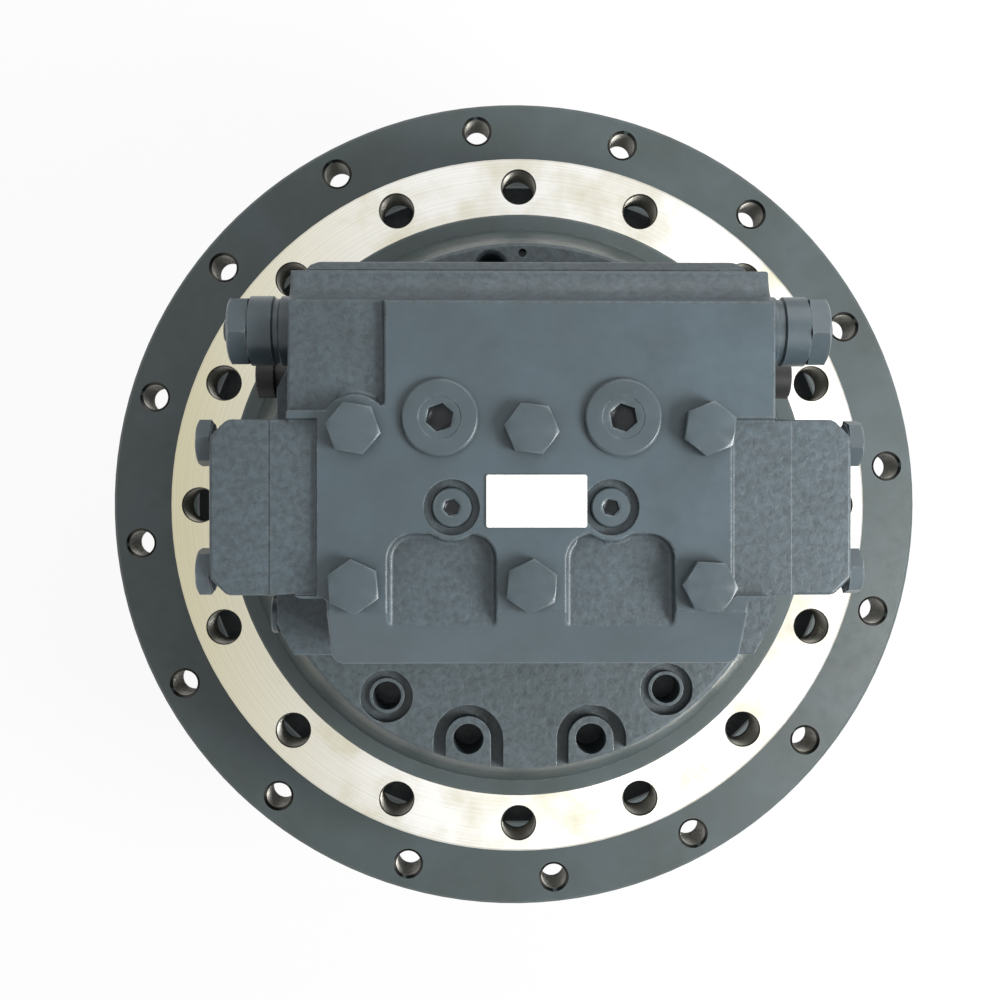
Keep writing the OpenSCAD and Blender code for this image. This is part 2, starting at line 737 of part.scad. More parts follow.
// Steel brake discs held in the case by four lugs
module brake_separators() color(steel) for (i = [0 : friction_disc_count]) {
    z = brake_floor_z + 0.1 + i * brake_pitch;
    difference() {
        union() {
            rod(brake_wall_r - 0.3, z, z + 2.5);
            intersection() {
                around(4, 0) translate([0, -brake_lug_w / 2, z]) cube([brake_slot_r, brake_lug_w, 2.5]);
                rod(brake_slot_r - 0.3, z, z + 2.5);
            }
        }
        rod(barrel_r + 3, z - cut, z + 3);
    }
}

// Stepped ring piston that clamps the brake discs
module brake_piston() color(steel) {
    bottom_z = brake_floor_z + 0.3 + friction_disc_count * brake_pitch + 2.5;
    difference() {
        turned([
            [barrel_r + 1.5, bottom_z], [brake_wall_r - 0.5, bottom_z],
            [brake_wall_r - 0.5, brake_bore_z + 1], [brake_bore_r - run, brake_bore_z + 1],
            [brake_bore_r - run, brake_piston_z], [barrel_r + 1.5, brake_piston_z],
        ]);
        around(brake_spring_count, brake_spring_orbit_r, brake_spring_turn) {
            rod(brake_spring_bore_r, brake_spring_z[0], brake_piston_z + cut);
        }
    }
}

// Springs that apply the parking brake
module brake_springs() color(dark_steel) {
    around(brake_spring_count, brake_spring_orbit_r, brake_spring_turn) {
        coil(brake_spring_bore_r - 0.3, 1.6, brake_spring_z[0] + run, brake_spring_z[1] - run);
    }
}

// Swash plate, tilted to its low-speed angle about the two pivot balls
module swash_plate() color(cast_iron) in_swash_frame() difference() {
    translate([0, swash_centre, 0]) ring(25, swash_r, swash_back, swash_face);
    both_sides() translate([pivot_x, 0, 0]) sphere(r = pivot_ball_r + 0.25, $fn = 48);
}

// Balls that carry the swash plate
module pivot_balls() color(steel) both_sides() translate([pivot_x, pivot_y, pivot_z]) {
    sphere(r = pivot_ball_r, $fn = 48);
}

// Round-nosed piston that pushes the swash plate to its high-speed angle
module control_piston() color(steel) {
    nose_z = pivot_z - 26.9;
    translate([0, control_piston_y, 0]) {
        rod(control_piston_r, nose_z - 20, nose_z);
        translate([0, 0, nose_z]) sphere(r = control_piston_r, $fn = 48);
    }
}

// Lip seal between the motor and the gearbox
module shaft_seal() color(rubber) ring(17 + run, 28, shaft_seal_z + 1, cup_z - 2);

// Outer rings of the two shaft bearings
module shaft_bearing_cups() color(steel) {
    ring(29.45, 34, cup_z, swash_floor_z);
    ring(21.85, 24, 72, 90);
}

// Inner rings of the shaft bearings, with their rollers
module shaft_bearing_cones() color(steel) {
    ring(17.5, 22, cup_z, swash_floor_z);
    ring(12.5, 16, 72, 90);
    around(14, 25.6) translate([0, 0, cup_z + 3]) cylinder(r = 3.6, h = 16, $fn = 32);
    around(14, 18.8) translate([0, 0, 74]) cylinder(r = 2.8, h = 14, $fn = 32);
}

// Levels of the two ball rows of the main bearing
function ball_row_z(i) = bearing_z[0] + (i + 0.5) * (bearing_z[1] - bearing_z[0]) / 2;

// One bearing ring of each row, with its ball groove
module bearing_rings(r_in, r_out) for (i = [0, 1]) translate([0, 0, ball_row_z(i)]) {
    half = (bearing_z[1] - bearing_z[0]) / 4 - 0.05;
    rotate_extrude() difference() {
        translate([r_in, -half]) square([r_out - r_in, 2 * half]);
        translate([ball_pitch_r, 0]) circle(r = ball_r + 0.25, $fn = 64);
    }
}

// Inner rings of the main bearing, on the spindle
module bearing_inner_rings() color(steel) bearing_rings(spindle_r, ball_pitch_r - bearing_land);

// Outer rings of the main bearing, in the hub
module bearing_outer_rings() color(steel) {
    bearing_rings(ball_pitch_r + bearing_land, bearing_outer_r);
}

// Ball and cage sets of the main bearing
module bearing_balls() color(steel) for (i = [0, 1]) translate([0, 0, ball_row_z(i)]) {
    ring(ball_pitch_r - 2.25, ball_pitch_r + 2.25, -12, 12);
    around(ball_count, ball_pitch_r) sphere(r = ball_r, $fn = 32);
}

// Ring nut that clamps the inner rings
module bearing_nut() color(dark_steel) difference() {
    ring(nose_r + seat, nose_r + 17, carrier_2_z[1], bearing_z[0]);
    around(6, nose_r + 17, 30) translate([-5, -5, carrier_2_z[1] - cut]) cube([10, 10, 20]);
}

// Metal face seal ring of the case side, seen from the sealing plane
module face_seal_ring() turned([
    [seal_torus_r - 18, 0.1], [seal_torus_r + 4, 0.1], [seal_torus_r + 4, 2.4],
    [seal_torus_r - 5 - seat, 2.4], [seal_torus_r - 5 - seat, 13], [seal_torus_r - 18, 13],
]);

module case_seal_ring() color(steel) translate([0, 0, seal_plane_z]) face_seal_ring();

module hub_seal_ring() color(steel) translate([0, 0, seal_plane_z]) mirror([0, 0, 1]) face_seal_ring();

// Rubber rings that load the two face seal rings
module case_toric_ring() color(rubber) o_ring(seal_torus_r, seal_torus_section_r, seal_plane_z + 8);

module hub_toric_ring() color(rubber) o_ring(seal_torus_r, seal_torus_section_r, seal_plane_z - 8);

// Fixed carrier of the second stage, bolted to the spindle
module planet_carrier_2() color(cast_iron) difference() {
    turned([
        [30, carrier_2_z[0]], [carrier_2_r - 2, carrier_2_z[0]], [carrier_2_r, carrier_2_z[0] + 2],
        [carrier_2_r, carrier_2_z[1]], [30, carrier_2_z[1]],
    ]);
    around(4, planet_2_orbit_r) rod(pin_2_d / 2 + seat, carrier_2_z[0] - cut, carrier_2_z[1] + cut);
}

// Hollow pins of the second stage planets
module planet_pins_2() color(steel) around(4, planet_2_orbit_r) difference() {
    rod(pin_2_d / 2, carrier_screw_z - 1, carrier_2_z[1]);
    rod(10.3, carrier_screw_z - 2, carrier_2_z[1] + cut);
    rod(15.5, carrier_screw_z - 2, carrier_counterbore_z);
}

// Socket screws through those pins into the spindle
module carrier_bolts() color(dark_steel) around(4, planet_2_orbit_r) {
    difference() {
        union() {
            rod(15, carrier_screw_z, carrier_counterbore_z);
            rod(10, carrier_counterbore_z - cut, -100);
        }
        translate([0, 0, carrier_screw_z]) mirror([0, 0, 1]) hex_socket(17, 10);
    }
}

// Motor shaft with a splined socket for the first sun gear
module motor_shaft() color(steel) difference() {
    union() {
        turned([
            [0, -126], [16, -126], [17, -125], [17, cup_z], [17.5, cup_z], [17.5, swash_floor_z],
            [20, swash_floor_z], [20, -63], [shaft_r, -63], [shaft_r, -12], [15, -12], [15, 36],
            [14, 36], [14, 60], [12.5, 60], [12.5, 90.5], [11.5, 91.5], [0, 91.5],
        ]);
        splined(18, 14.9, 17, 0, 35);
    }
    splined(14, quill_r, quill_spline_r, -126 - cut, -95, 0.1);
}

// Cylinder block with its piston bores, kidney ports and brake splines
module cylinder_block() color(cast_iron) difference() {
    union() {
        turned([
            [0, barrel_z[0]], [barrel_r - 1.5, barrel_z[0]], [barrel_r, barrel_z[0] + 1.5],
            [barrel_r, 58], [barrel_r - 5, barrel_z[1]], [0, barrel_z[1]],
        ]);
        splined(24, barrel_r - 0.2, barrel_r + 2, brake_floor_z, brake_bore_z - 2);
    }
    rod(20, barrel_z[0] - cut, 0);
    splined(18, 14.9, 17, -cut, 38, 0.1);
    rod(21.5, 36, 59);
    rod(16, 58, barrel_z[1] + cut);
    around(piston_count, piston_orbit_r) rod(piston_d / 2 + run, barrel_z[0] - cut, 55);
    around(piston_count, piston_orbit_r - 1) rod(4.5, 54, barrel_z[1] + cut);
}

// Pistons with ball ends
module pistons() color(steel) around(piston_count, piston_orbit_r) difference() {
    union() {
        rod(piston_d / 2, piston_ball_z + 9, 46);
        rod(5, piston_ball_z, piston_ball_z + 10);
        translate([0, 0, piston_ball_z]) sphere(r = 7, $fn = 48);
    }
    rod(5, piston_ball_z + 20, 46 + cut);
}

// Slipper shoes swaged over the piston balls
module piston_shoes() color(bronze) around(piston_count, piston_orbit_r) difference() {
    turned([
        [0, shoe_z], [11, shoe_z], [11, shoe_z + 4], [9.3, shoe_z + 4], [9.3, shoe_z + 10.5],
        [0, shoe_z + 10.5],
    ]);
    translate([0, 0, piston_ball_z]) sphere(r = 7 + run, $fn = 48);
}

// Plate that holds the shoes down
module shoe_retainer() color(steel) difference() {
    ring(19, 48, shoe_z + 4 + seat, shoe_z + 7);
    around(piston_count, piston_orbit_r) rod(9.6, shoe_z, shoe_z + 10);
}

// Spring that presses the cylinder block against the valve plate
module barrel_spring() color(dark_steel) coil(21, 4, 38.05, 57.95);

// Friction discs driven by the splines of the cylinder block
module friction_discs() color(bronze) for (i = [0 : friction_disc_count - 1]) {
    z = brake_floor_z + 2.9 + i * brake_pitch;
    difference() {
        rod(brake_wall_r - 0.9, z, z + 2.8);
        splined(24, barrel_r, barrel_r + 2, z - cut, z + 3.8, 0.2);
    }
}

// First sun gear with the quill shaft that drives it
module sun_gear_1() color(steel) {
    gear_with_phase(sun_1_teeth, planet_1_teeth, -254, -220);
    rod(quill_r, -221, -97);
    splined(14, quill_r - 0.1, quill_spline_r, -123, -97);
}

// Sun gear turned so that it meshes with the planets at rest
module gear_with_phase(teeth, planet_teeth, z0, z1) {
    rotate((planet_teeth - 1) / 2 * 360 / teeth) gear(teeth, sun_shift, z0, z1);
}

// Second sun gear, splined into the first carrier
module sun_gear_2() color(steel) difference() {
    gear_with_phase(sun_2_teeth, planet_2_teeth, carrier_1_z[0], carrier_2_z[0] - 2);
    rod(13, carrier_1_z[0] - cut, carrier_2_z[0]);
}

// First carrier with its three pins
module planet_carrier_1() color(cast_iron) {
    difference() {
        rod(118, carrier_1_z[0], carrier_1_z[1]);
        translate([0, 0, carrier_1_z[0] - cut]) rotate((planet_2_teeth - 1) / 2 * 360 / sun_2_teeth) {
            linear_extrude(20) {
                polygon(gear_outline(sun_2_teeth, sun_shift, 0, sun_2_root_r, sun_2_tip_r));
            }
        }
    }
    around(3, planet_1_orbit_r) rod(pin_1_d / 2, -254, carrier_1_z[0] + cut);
}

// Planet gear with its bore, at its place on the orbit
module planet(orbit_r, angle, teeth, z, pin_r) color(steel) on_orbit(orbit_r, angle, teeth) {
    difference() {
        gear(teeth, planet_shift, z[0], z[1]);
        rod(pin_r + run, z[0] - cut, z[1] + cut);
    }
}

module planet_1(i) planet(planet_1_orbit_r, i * 120, planet_1_teeth, planet_1_z, pin_1_d / 2);

module planet_2(i) planet(planet_2_orbit_r, i * 90, planet_2_teeth, planet_2_z, pin_2_d / 2);

// Rotating hub with the sprocket flange and the ring gear
module hub() color(case_paint) difference() {
    back_z = sprocket_face_z - sprocket_flange_t;
    turned([
        [spigot_r, drum_end_z], [drum_r - 2, drum_end_z], [drum_r, drum_end_z + 2],
        [drum_r, back_z - sprocket_pilot_h - 6], [drum_r + 6, back_z - sprocket_pilot_h],
        [sprocket_pilot_r, back_z - sprocket_pilot_h], [sprocket_pilot_r, back_z],
        [sprocket_flange_r - 1, back_z], [sprocket_flange_r, back_z + 1],
        [sprocket_flange_r, sprocket_face_z - 1.5], [sprocket_flange_r - 1.5, sprocket_face_z],
        [hub_neck_r + 6, sprocket_face_z], [hub_neck_r, sprocket_face_z + 6],
        [hub_neck_r, hub_top_z - 1.5], [hub_neck_r - 1.5, hub_top_z], [seal_bore_r, hub_top_z],
        [seal_bore_r, seal_pocket_z[0]], [bearing_outer_r, seal_pocket_z[0]],
        [bearing_outer_r, bearing_z[0]], [bearing_outer_r - 11.5, bearing_z[0]],
        [bearing_outer_r - 11.5, bearing_lip_z], [ring_root_r + 1.2, bearing_lip_z],
        [ring_root_r + 1.2, carrier_2_z[0]], [ring_blank_r, carrier_2_z[0]],
        [ring_blank_r, spigot_z], [spigot_r, spigot_z],
    ]);
    translate([0, 0, spigot_z - cut]) linear_extrude(carrier_2_z[0] - spigot_z + 2 * cut) {
        polygon(gear_outline_of_ring());
    }
    around(sprocket_bolt_count, sprocket_bolt_circle_r, 90 + sprocket_bolt_turn) {
        translate([0, 0, sprocket_face_z]) tapped_hole(sprocket_hole_d / 2, sprocket_flange_t + cut);
    }
    around(end_bolt_count, end_bolt_circle_r, end_bolt_turn) rod(6 + run, drum_end_z - cut, -238);
}

// Outline that cuts the internal teeth, with a tooth space on +X
function gear_outline_of_ring() =
    let (pitch_r = gear_m * ring_teeth / 2)
    gear_outline(
        ring_teeth, planet_shift, -tooth_thinning,
        pitch_r - gear_m * (1 - planet_shift), ring_root_r
    );

// Cover of the gearbox end, with the flat foot that the motor stands on
module end_cover() color(case_paint) difference() {
    turned([
        [0, foot_z], [foot_d / 2 - 2, foot_z], [foot_d / 2, foot_z + 2], [foot_d / 2, end_face_z],
        [end_cover_r - 2, end_face_z], [end_cover_r, end_face_z + 2], [end_cover_r, drum_end_z],
        [spigot_r - run, drum_end_z], [spigot_r - run, spigot_z], [spigot_r - 8, spigot_z],
        [spigot_r - 8, drum_end_z], [0, drum_end_z],
    ]);
    around(end_bolt_count, end_bolt_circle_r, end_bolt_turn) {
        rod(6.5, end_face_z - cut, drum_end_z + cut);
    }
    around(2, oil_plug_orbit_r) rod(oil_plug_r + seat, end_face_z - cut, drum_end_z + cut);
    ring(spigot_r + 1.5, spigot_r + 4.5, drum_end_z - 2, drum_end_z + cut);
}

// Hexagon bolts that hold the end cover
module end_cover_bolts() color(dark_steel) {
    around(end_bolt_count, end_bolt_circle_r, end_bolt_turn) {
        translate([0, 0, end_face_z]) mirror([0, 0, 1]) hex_bolt(6, 36, 19, 7.5);
    }
}

// Level and drain plugs of the gearbox oil
module oil_plugs() color(dark_steel) around(2, oil_plug_orbit_r) difference() {
    union() {
        rod(oil_plug_r, end_face_z, drum_end_z - 2);
        rod(oil_plug_r + 3.5, end_face_z - oil_plug_head, end_face_z);
    }
    translate([0, 0, end_face_z - oil_plug_head]) mirror([0, 0, 1]) hex_socket(10, 8);
}

// Wear plate under the first sun gear
module thrust_plate() color(bronze) rod(40, drum_end_z, -256);

motor_case();
rear_cover();
cover_seals();
cover_bolts();
passage_plugs();
check_valve_plugs();
check_poppets();
spool_caps();
cap_bolts();
relief_valves();
port_plugs();
nameplate();
counterbalance_spool();
counterbalance_springs();
two_speed_spool();
two_speed_spring();
spool_plug();
valve_plate();
brake_separators();
brake_piston();
brake_springs();
swash_plate();
pivot_balls();
control_piston();
shaft_seal();
shaft_bearing_cups();
bearing_inner_rings();
bearing_nut();
case_seal_ring();
case_toric_ring();
planet_carrier_2();
planet_pins_2();
carrier_bolts();
motor_shaft();
cylinder_block();
pistons();
piston_shoes();
shoe_retainer();
barrel_spring();
friction_discs();
shaft_bearing_cones();
sun_gear_1();
bearing_balls();
hub();
bearing_outer_rings();
hub_seal_ring();
hub_toric_ring();
end_cover();
end_cover_bolts();
oil_plugs();
thrust_plate();
planet_carrier_1();
sun_gear_2();
planet_1(0);  // planet_1_a
planet_1(1);  // planet_1_b
planet_1(2);  // planet_1_c
planet_2(0);  // planet_2_a
planet_2(1);  // planet_2_b
planet_2(2);  // planet_2_c
planet_2(3);  // planet_2_d
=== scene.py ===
"""Looks of a tracked excavator's travel motor, built around its exact CAD frame.

Sizes are in millimetres, as on a drawing, and mm() turns them to Blender's metres. Each
sub-assembly is a class that holds its sizes as fields and has methods that build and dress its
pieces. main() builds them in order, and every piece ends at the origin with its place in its mesh.
"""

import json
import logging
import math
from contextlib import contextmanager
from dataclasses import dataclass
from enum import Enum
from typing import Any, Callable, Iterator, Sequence

import bmesh
import bpy
from mathutils import Matrix, Vector
from mathutils.bvhtree import BVHTree


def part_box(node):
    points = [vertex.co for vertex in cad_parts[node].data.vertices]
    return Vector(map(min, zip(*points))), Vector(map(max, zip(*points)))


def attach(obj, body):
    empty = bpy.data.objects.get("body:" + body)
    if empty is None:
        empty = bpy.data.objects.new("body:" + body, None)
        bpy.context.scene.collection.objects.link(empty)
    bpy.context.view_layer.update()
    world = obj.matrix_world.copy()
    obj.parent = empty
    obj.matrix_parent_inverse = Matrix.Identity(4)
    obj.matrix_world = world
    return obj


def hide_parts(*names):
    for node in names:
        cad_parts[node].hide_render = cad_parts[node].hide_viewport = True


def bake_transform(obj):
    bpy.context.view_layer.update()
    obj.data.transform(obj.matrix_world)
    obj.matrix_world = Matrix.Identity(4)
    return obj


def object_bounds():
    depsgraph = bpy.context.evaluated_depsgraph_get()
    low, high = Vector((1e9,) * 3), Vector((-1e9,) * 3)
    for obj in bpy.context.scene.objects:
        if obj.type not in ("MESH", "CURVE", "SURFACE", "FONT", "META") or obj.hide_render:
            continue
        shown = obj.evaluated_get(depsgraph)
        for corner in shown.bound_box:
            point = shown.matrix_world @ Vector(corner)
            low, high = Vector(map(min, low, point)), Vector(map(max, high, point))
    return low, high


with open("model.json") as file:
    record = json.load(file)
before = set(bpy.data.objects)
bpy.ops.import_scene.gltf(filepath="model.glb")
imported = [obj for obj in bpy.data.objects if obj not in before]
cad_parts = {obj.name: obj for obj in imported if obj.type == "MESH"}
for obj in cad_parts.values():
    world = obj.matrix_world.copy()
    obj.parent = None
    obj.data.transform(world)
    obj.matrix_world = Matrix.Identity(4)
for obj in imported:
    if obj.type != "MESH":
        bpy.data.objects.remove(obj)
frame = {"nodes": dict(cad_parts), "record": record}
cad_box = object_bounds()
log = logging.getLogger("travel_motor")

Outline = Sequence[tuple[float, float]]
PlaceTest = Callable[[Vector, Vector], bool]
Spot = tuple[float, float, float]

HOUSING = "housing"
HUB = "hub"
SIDES = (-1, 1)
OUTWARDS = {-1: "-X", 1: "+X"}


# Shop tools: small steps that every piece is made with


def mm(value: float) -> float:
    """Millimetres as metres."""
    return value / 1000.0


def highest(node: str) -> Vector:
    """The highest corner of a CAD node's box, in millimetres to the nearest 0.01."""
    return Vector([round(value * 1000, 2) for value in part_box(node)[1]])


FLOOR_Z = round(cad_box[0][2] * 1000, 2)
FRONT_Z = highest("motor_case").z
COVER_Z = highest("rear_cover").z
# Shading breaks at edges sharper than the angle, and corners nearer than the weld become one
SMOOTH_ANGLE = math.radians(34)
WELD = mm(0.004)


def deselect() -> None:
    """Leaves edit mode and selects nothing, because a fresh frame has its CAD nodes selected."""
    if bpy.context.mode != "OBJECT":
        bpy.ops.object.mode_set(mode="OBJECT")
    bpy.ops.object.select_all(action="DESELECT")


def activate(*pieces: bpy.types.Object) -> None:
    """Selects these pieces alone and makes the first of them active.

    Args:
        pieces: the pieces that the next operator acts on.
    """
    deselect()
    for piece in pieces:
        piece.select_set(True)
    bpy.context.view_layer.objects.active = pieces[0]


@contextmanager
def editing(piece: bpy.types.Object, kind: str) -> Iterator[None]:
    """Edit mode on one piece, with nothing selected.

    Args:
        piece: the piece to edit.
        kind: VERT or EDGE, what is picked.

    Yields:
        Nothing, and edit mode ends afterwards.
    """
    activate(piece)
    bpy.ops.object.mode_set(mode="EDIT")
    bpy.ops.mesh.select_mode(type=kind)
    bpy.ops.mesh.select_all(action="DESELECT")
    yield
    bpy.ops.object.mode_set(mode="OBJECT")


def pick_outer_edges(piece: bpy.types.Object, test: PlaceTest, convex: bool, least: float,
                     crowded: Sequence[tuple[Vector, float]]) -> int:
    """Selects the sharp edges that can be seen from outside, in edit mode.

    Args:
        piece: the piece in edit mode.
        test: takes an edge's middle in millimetres and the mean of its faces' normals.
        convex: True for edges that stick out, False for inner corners.
        least: the smallest angle between the faces, in degrees.
        crowded: spots where a rounding found no room, each with how far an edge must stay
            from it, in metres.

    Returns:
        How many edges are selected.
    """
    mesh = bmesh.from_edit_mesh(piece.data)
    tree = BVHTree.FromBMesh(mesh)
    picked = 0
    for edge in mesh.edges:
        if len(edge.link_faces) != 2:
            continue
        angle = math.degrees(edge.calc_face_angle_signed(0))
        if (angle if convex else -angle) < least:
            continue
        middle = (edge.verts[0].co + edge.verts[1].co) / 2
        normal = (edge.link_faces[0].normal + edge.link_faces[1].normal).normalized()
        if not test(middle * 1000, normal):
            continue
        if any(distance_to_edge(spot, edge) < room for spot, room in crowded):
            continue
        if tree.ray_cast(middle + normal * mm(0.3), normal)[0] is None:
            edge.select_set(True)
            picked += 1
    bmesh.update_edit_mesh(piece.data)
    return picked


def distance_to_edge(spot: Vector, edge: bmesh.types.BMEdge) -> float:
    """Distance from a spot to an edge.

    Args:
        spot: a place in metres.
        edge: an edge of the mesh.

    Returns:
        The distance, in metres.
    """
    start, end = (vertex.co for vertex in edge.verts)
    along = end - start
    share = (spot - start).dot(along) / max(along.length_squared, 1e-12)
    return (start + along * min(max(share, 0.0), 1.0) - spot).length


def surface_tree(mesh_data: bpy.types.Mesh) -> BVHTree:
    """Makes a mesh's surface searchable.

    Args:
        mesh_data: the mesh.

    Returns:
        The search tree.
    """
    mesh = bmesh.new()
    mesh.from_mesh(mesh_data)
    tree = BVHTree.FromBMesh(mesh)
    mesh.free()
    return tree


def folded_spots(piece: bpy.types.Object, before: BVHTree) -> list[Vector]:
    """Where a rounding has turned a piece's surface over.

    Args:
        piece: the piece after the rounding.
        before: its surface before that.

    Returns:
        The centres of the triangles that face the wrong way.
    """
    mesh = bmesh.new()
    mesh.from_mesh(piece.data)
    bmesh.ops.triangulate(mesh, faces=mesh.faces)
    spots = []
    for face in mesh.faces:
        centre = face.calc_center_median()
        normal = before.find_nearest(centre)[1]
        if face.calc_area() > mm(0.2) ** 2 and normal.dot(face.normal) < -0.1:
            spots.append(centre.copy())
    mesh.free()
    return spots


def add_modifier(piece: bpy.types.Object, kind: str, **settings: Any) -> None:
    """Adds one modifier and applies it.

    Args:
        piece: the piece that takes it.
        kind: the modifier's type.
        settings: its properties.
    """
    activate(piece)
    modifier = piece.modifiers.new(kind.lower(), kind)
    for name, value in settings.items():
        setattr(modifier, name, value)
    bpy.ops.object.modifier_apply(modifier=modifier.name)


def combine(piece: bpy.types.Object, tool: bpy.types.Object, operation: str) -> bpy.types.Object:
    """Cuts, joins or intersects a piece with a tool, and throws the tool away.

    Args:
        piece: the piece that stays.
        tool: the closed shape that it is combined with.
        operation: DIFFERENCE, UNION or INTERSECT.

    Returns:
        The piece.
    """
    add_modifier(piece, "BOOLEAN", object=tool, operation=operation, solver="EXACT")
    bpy.data.objects.remove(tool)
    return piece


def join(pieces: Sequence[bpy.types.Object], name: str) -> bpy.types.Object:
    """Joins pieces into one object.

    Args:
        pieces: the pieces, of which the first one stays.
        name: the name of the whole.

    Returns:
        The joined piece.
    """
    activate(*pieces)
    if len(pieces) > 1:
        bpy.ops.object.join()
    pieces[0].name = name
    return pieces[0]


def settle(piece: bpy.types.Object, place: Matrix) -> bpy.types.Object:
    """Moves a piece and puts its place into its mesh.

    Args:
        piece: the piece, modelled about the origin.
        place: where it goes, in metres.

    Returns:
        The piece, its object at the origin.
    """
    piece.matrix_world = place
    activate(piece)
    bpy.ops.object.transform_apply(location=True, rotation=True, scale=True)
    return piece


def at(x: float, y: float, z: float, axis: str = "+Z", turn: float = 0.0) -> Matrix:
    """Place of a piece that was modelled upright.

    Args:
        x: place in millimetres.
        y: place in millimetres.
        z: place in millimetres.
        axis: where the piece's own +Z points: +Z, -Z, +X or -X.
        turn: turn about the piece's own axis, in degrees.

    Returns:
        The matrix, in metres.
    """
    aims = {"+Z": (0, 0, 1), "-Z": (0, 0, -1), "+X": (1, 0, 0), "-X": (-1, 0, 0)}
    aim = Vector(aims[axis]).to_track_quat("Z", "Y").to_matrix().to_4x4()
    spin = Matrix.Rotation(math.radians(turn), 4, "Z")
    return Matrix.Translation(Vector((mm(x), mm(y), mm(z)))) @ aim @ spin


def circle(count: int, radius: float, start: float, z: float, axis: str = "+Z") -> list[Matrix]:
    """Places spaced evenly around the Z axis.

    Args:
        count: how many.
        radius: of the circle, in millimetres.
        start: angle of the first place, in degrees.
        z: level.
        axis: where each copy's own +Z points.

    Returns:
        The places.
    """
    angles = [math.radians(start + i * 360 / count) for i in range(count)]
    return [at(radius * math.cos(a), radius * math.sin(a), z, axis) for a in angles]


def pair(x: float, y: float, z: float, turn: float = 0.0, upright: bool = False) -> list[Matrix]:
    """Places left and right of the middle plane.

    Args:
        x: distance from that plane, in millimetres.
        y: place in millimetres.
        z: place in millimetres.
        turn: turn of the right one about its own axis, in degrees; the left one turns back.
        upright: True for +Z up, False for +Z away from the middle plane.

    Returns:
        The two places.
    """
    return [at(side * x, y, z, "+Z" if upright else OUTWARDS[side], turn * side) for side in SIDES]


def copies(pattern: bpy.types.Object, places: Sequence[Matrix], name: str) -> bpy.types.Object:
    """One object of copies of a pattern, each with its own mesh, and the pattern thrown away.

    Args:
        pattern: the piece, modelled about the origin.
        places: where each copy goes.
        name: the name of the whole.

    Returns:
        The joined copies.
    """
    made = []
    for place in places:
        activate(pattern)
        bpy.ops.object.duplicate(linked=False)
        made.append(settle(bpy.context.view_layer.objects.active, place))
    bpy.data.objects.remove(pattern)
    return join(made, name)


def draw(name: str, points: Sequence[Vector]) -> bpy.types.Object:
    """A line of edges, extruded point by point.

    Args:
        name: the piece's name.
        points: its corners, in metres.

    Returns:
        The open line.
    """
    deselect()
    bpy.ops.mesh.primitive_plane_add(size=mm(1))
    piece = bpy.context.view_layer.objects.active
    piece.name = name
    with editing(piece, "VERT"):
        bpy.ops.mesh.select_all(action="SELECT")
        bpy.ops.mesh.merge(type="CENTER")
        bpy.ops.transform.translate(value=points[0])
        for start, end in zip(points, points[1:]):
            bpy.ops.mesh.extrude_region_move(TRANSFORM_OT_translate={"value": end - start})
    return piece


def turn_outline(name: str, outline: Outline, steps: int = 64, ring: bool = False) -> bpy.types.Object:
    """A turned piece, its outline drawn and then spun about Z.

    Args:
        name: the piece's name.
        outline: radius and height of each corner, in millimetres.
        steps: facets around.
        ring: True where the outline closes on itself off the axis.

    Returns:
        The closed piece.
    """
    points = [Vector((mm(r), 0, mm(z))) for r, z in outline]
    if ring:
        points.append(points[0])
    piece = draw(name, points)
    with editing(piece, "VERT"):
        bpy.ops.mesh.select_all(action="SELECT")
        bpy.ops.mesh.spin(steps=steps, angle=2 * math.pi, center=(0, 0, 0), axis=(0, 0, 1))
        bpy.ops.mesh.select_all(action="SELECT")
        bpy.ops.mesh.remove_doubles(threshold=WELD)
        bpy.ops.mesh.dissolve_degenerate(threshold=mm(0.002))
        bpy.ops.mesh.select_all(action="SELECT")
        bpy.ops.mesh.normals_make_consistent(inside=False)
    return piece


def rod(name: str, radius: float, z0: float, z1: float, sides: int) -> bpy.types.Object:
    """An upright bar between two levels, the start of a piece or a cutter.

    Args:
        name: the piece's name.
        radius: to the corners, in millimetres.
        z0: lower level.
        z1: upper level.
        sides: number of sides.

    Returns:
        The bar.
    """
    deselect()
    bpy.ops.mesh.primitive_cylinder_add(
        vertices=sides, radius=mm(radius), depth=mm(z1 - z0), location=(0, 0, mm(z0 + z1) / 2)
    )
    piece = bpy.context.view_layer.objects.active
    piece.name = name
    return settle(piece, piece.matrix_world.copy())


def hexagon(name: str, across_flats: float, z0: float, z1: float) -> bpy.types.Object:
    """A hexagon with a turned chamfer on its upper end.

    Args:
        name: the piece's name.
        across_flats: spanner size in millimetres.
        z0: lower level.
        z1: upper level.

    Returns:
        The hexagon.
    """
    corner = across_flats / 2 / math.cos(math.radians(30))
    rim = across_flats * 0.475
    chamfer = (corner - rim) * math.tan(math.radians(30))
    envelope = turn_outline("envelope", [
        (0, z0 - 1), (corner + 0.4, z0 - 1), (corner + 0.4, z1 - chamfer * 1.15), (rim, z1), (0, z1),
    ])
    return combine(rod(name, corner, z0, z1, 6), envelope, "INTERSECT")


def hex_socket(name: str, across_flats: float, z: float, depth: float) -> bpy.types.Object:
    """The cutter of a broached hexagon socket, with the cone that its drill leaves.

    Args:
        name: the cutter's name.
        across_flats: key size in millimetres.
        z: level of the mouth.
        depth: depth of the flats.

    Returns:
        The cutter.
    """
    corner = across_flats / 2 / math.cos(math.radians(30))
    drill = across_flats * 0.47
    bore = turn_outline("drill", [
        (0, z - depth - across_flats / 4), (drill, z - depth - 0.2), (drill, z - 0.6),
        (corner + 0.35, z + 0.05), (corner + 0.35, z + 1), (0, z + 1),
    ])
    return combine(rod(name, corner, z - depth, z + 0.5, 6), bore, "UNION")


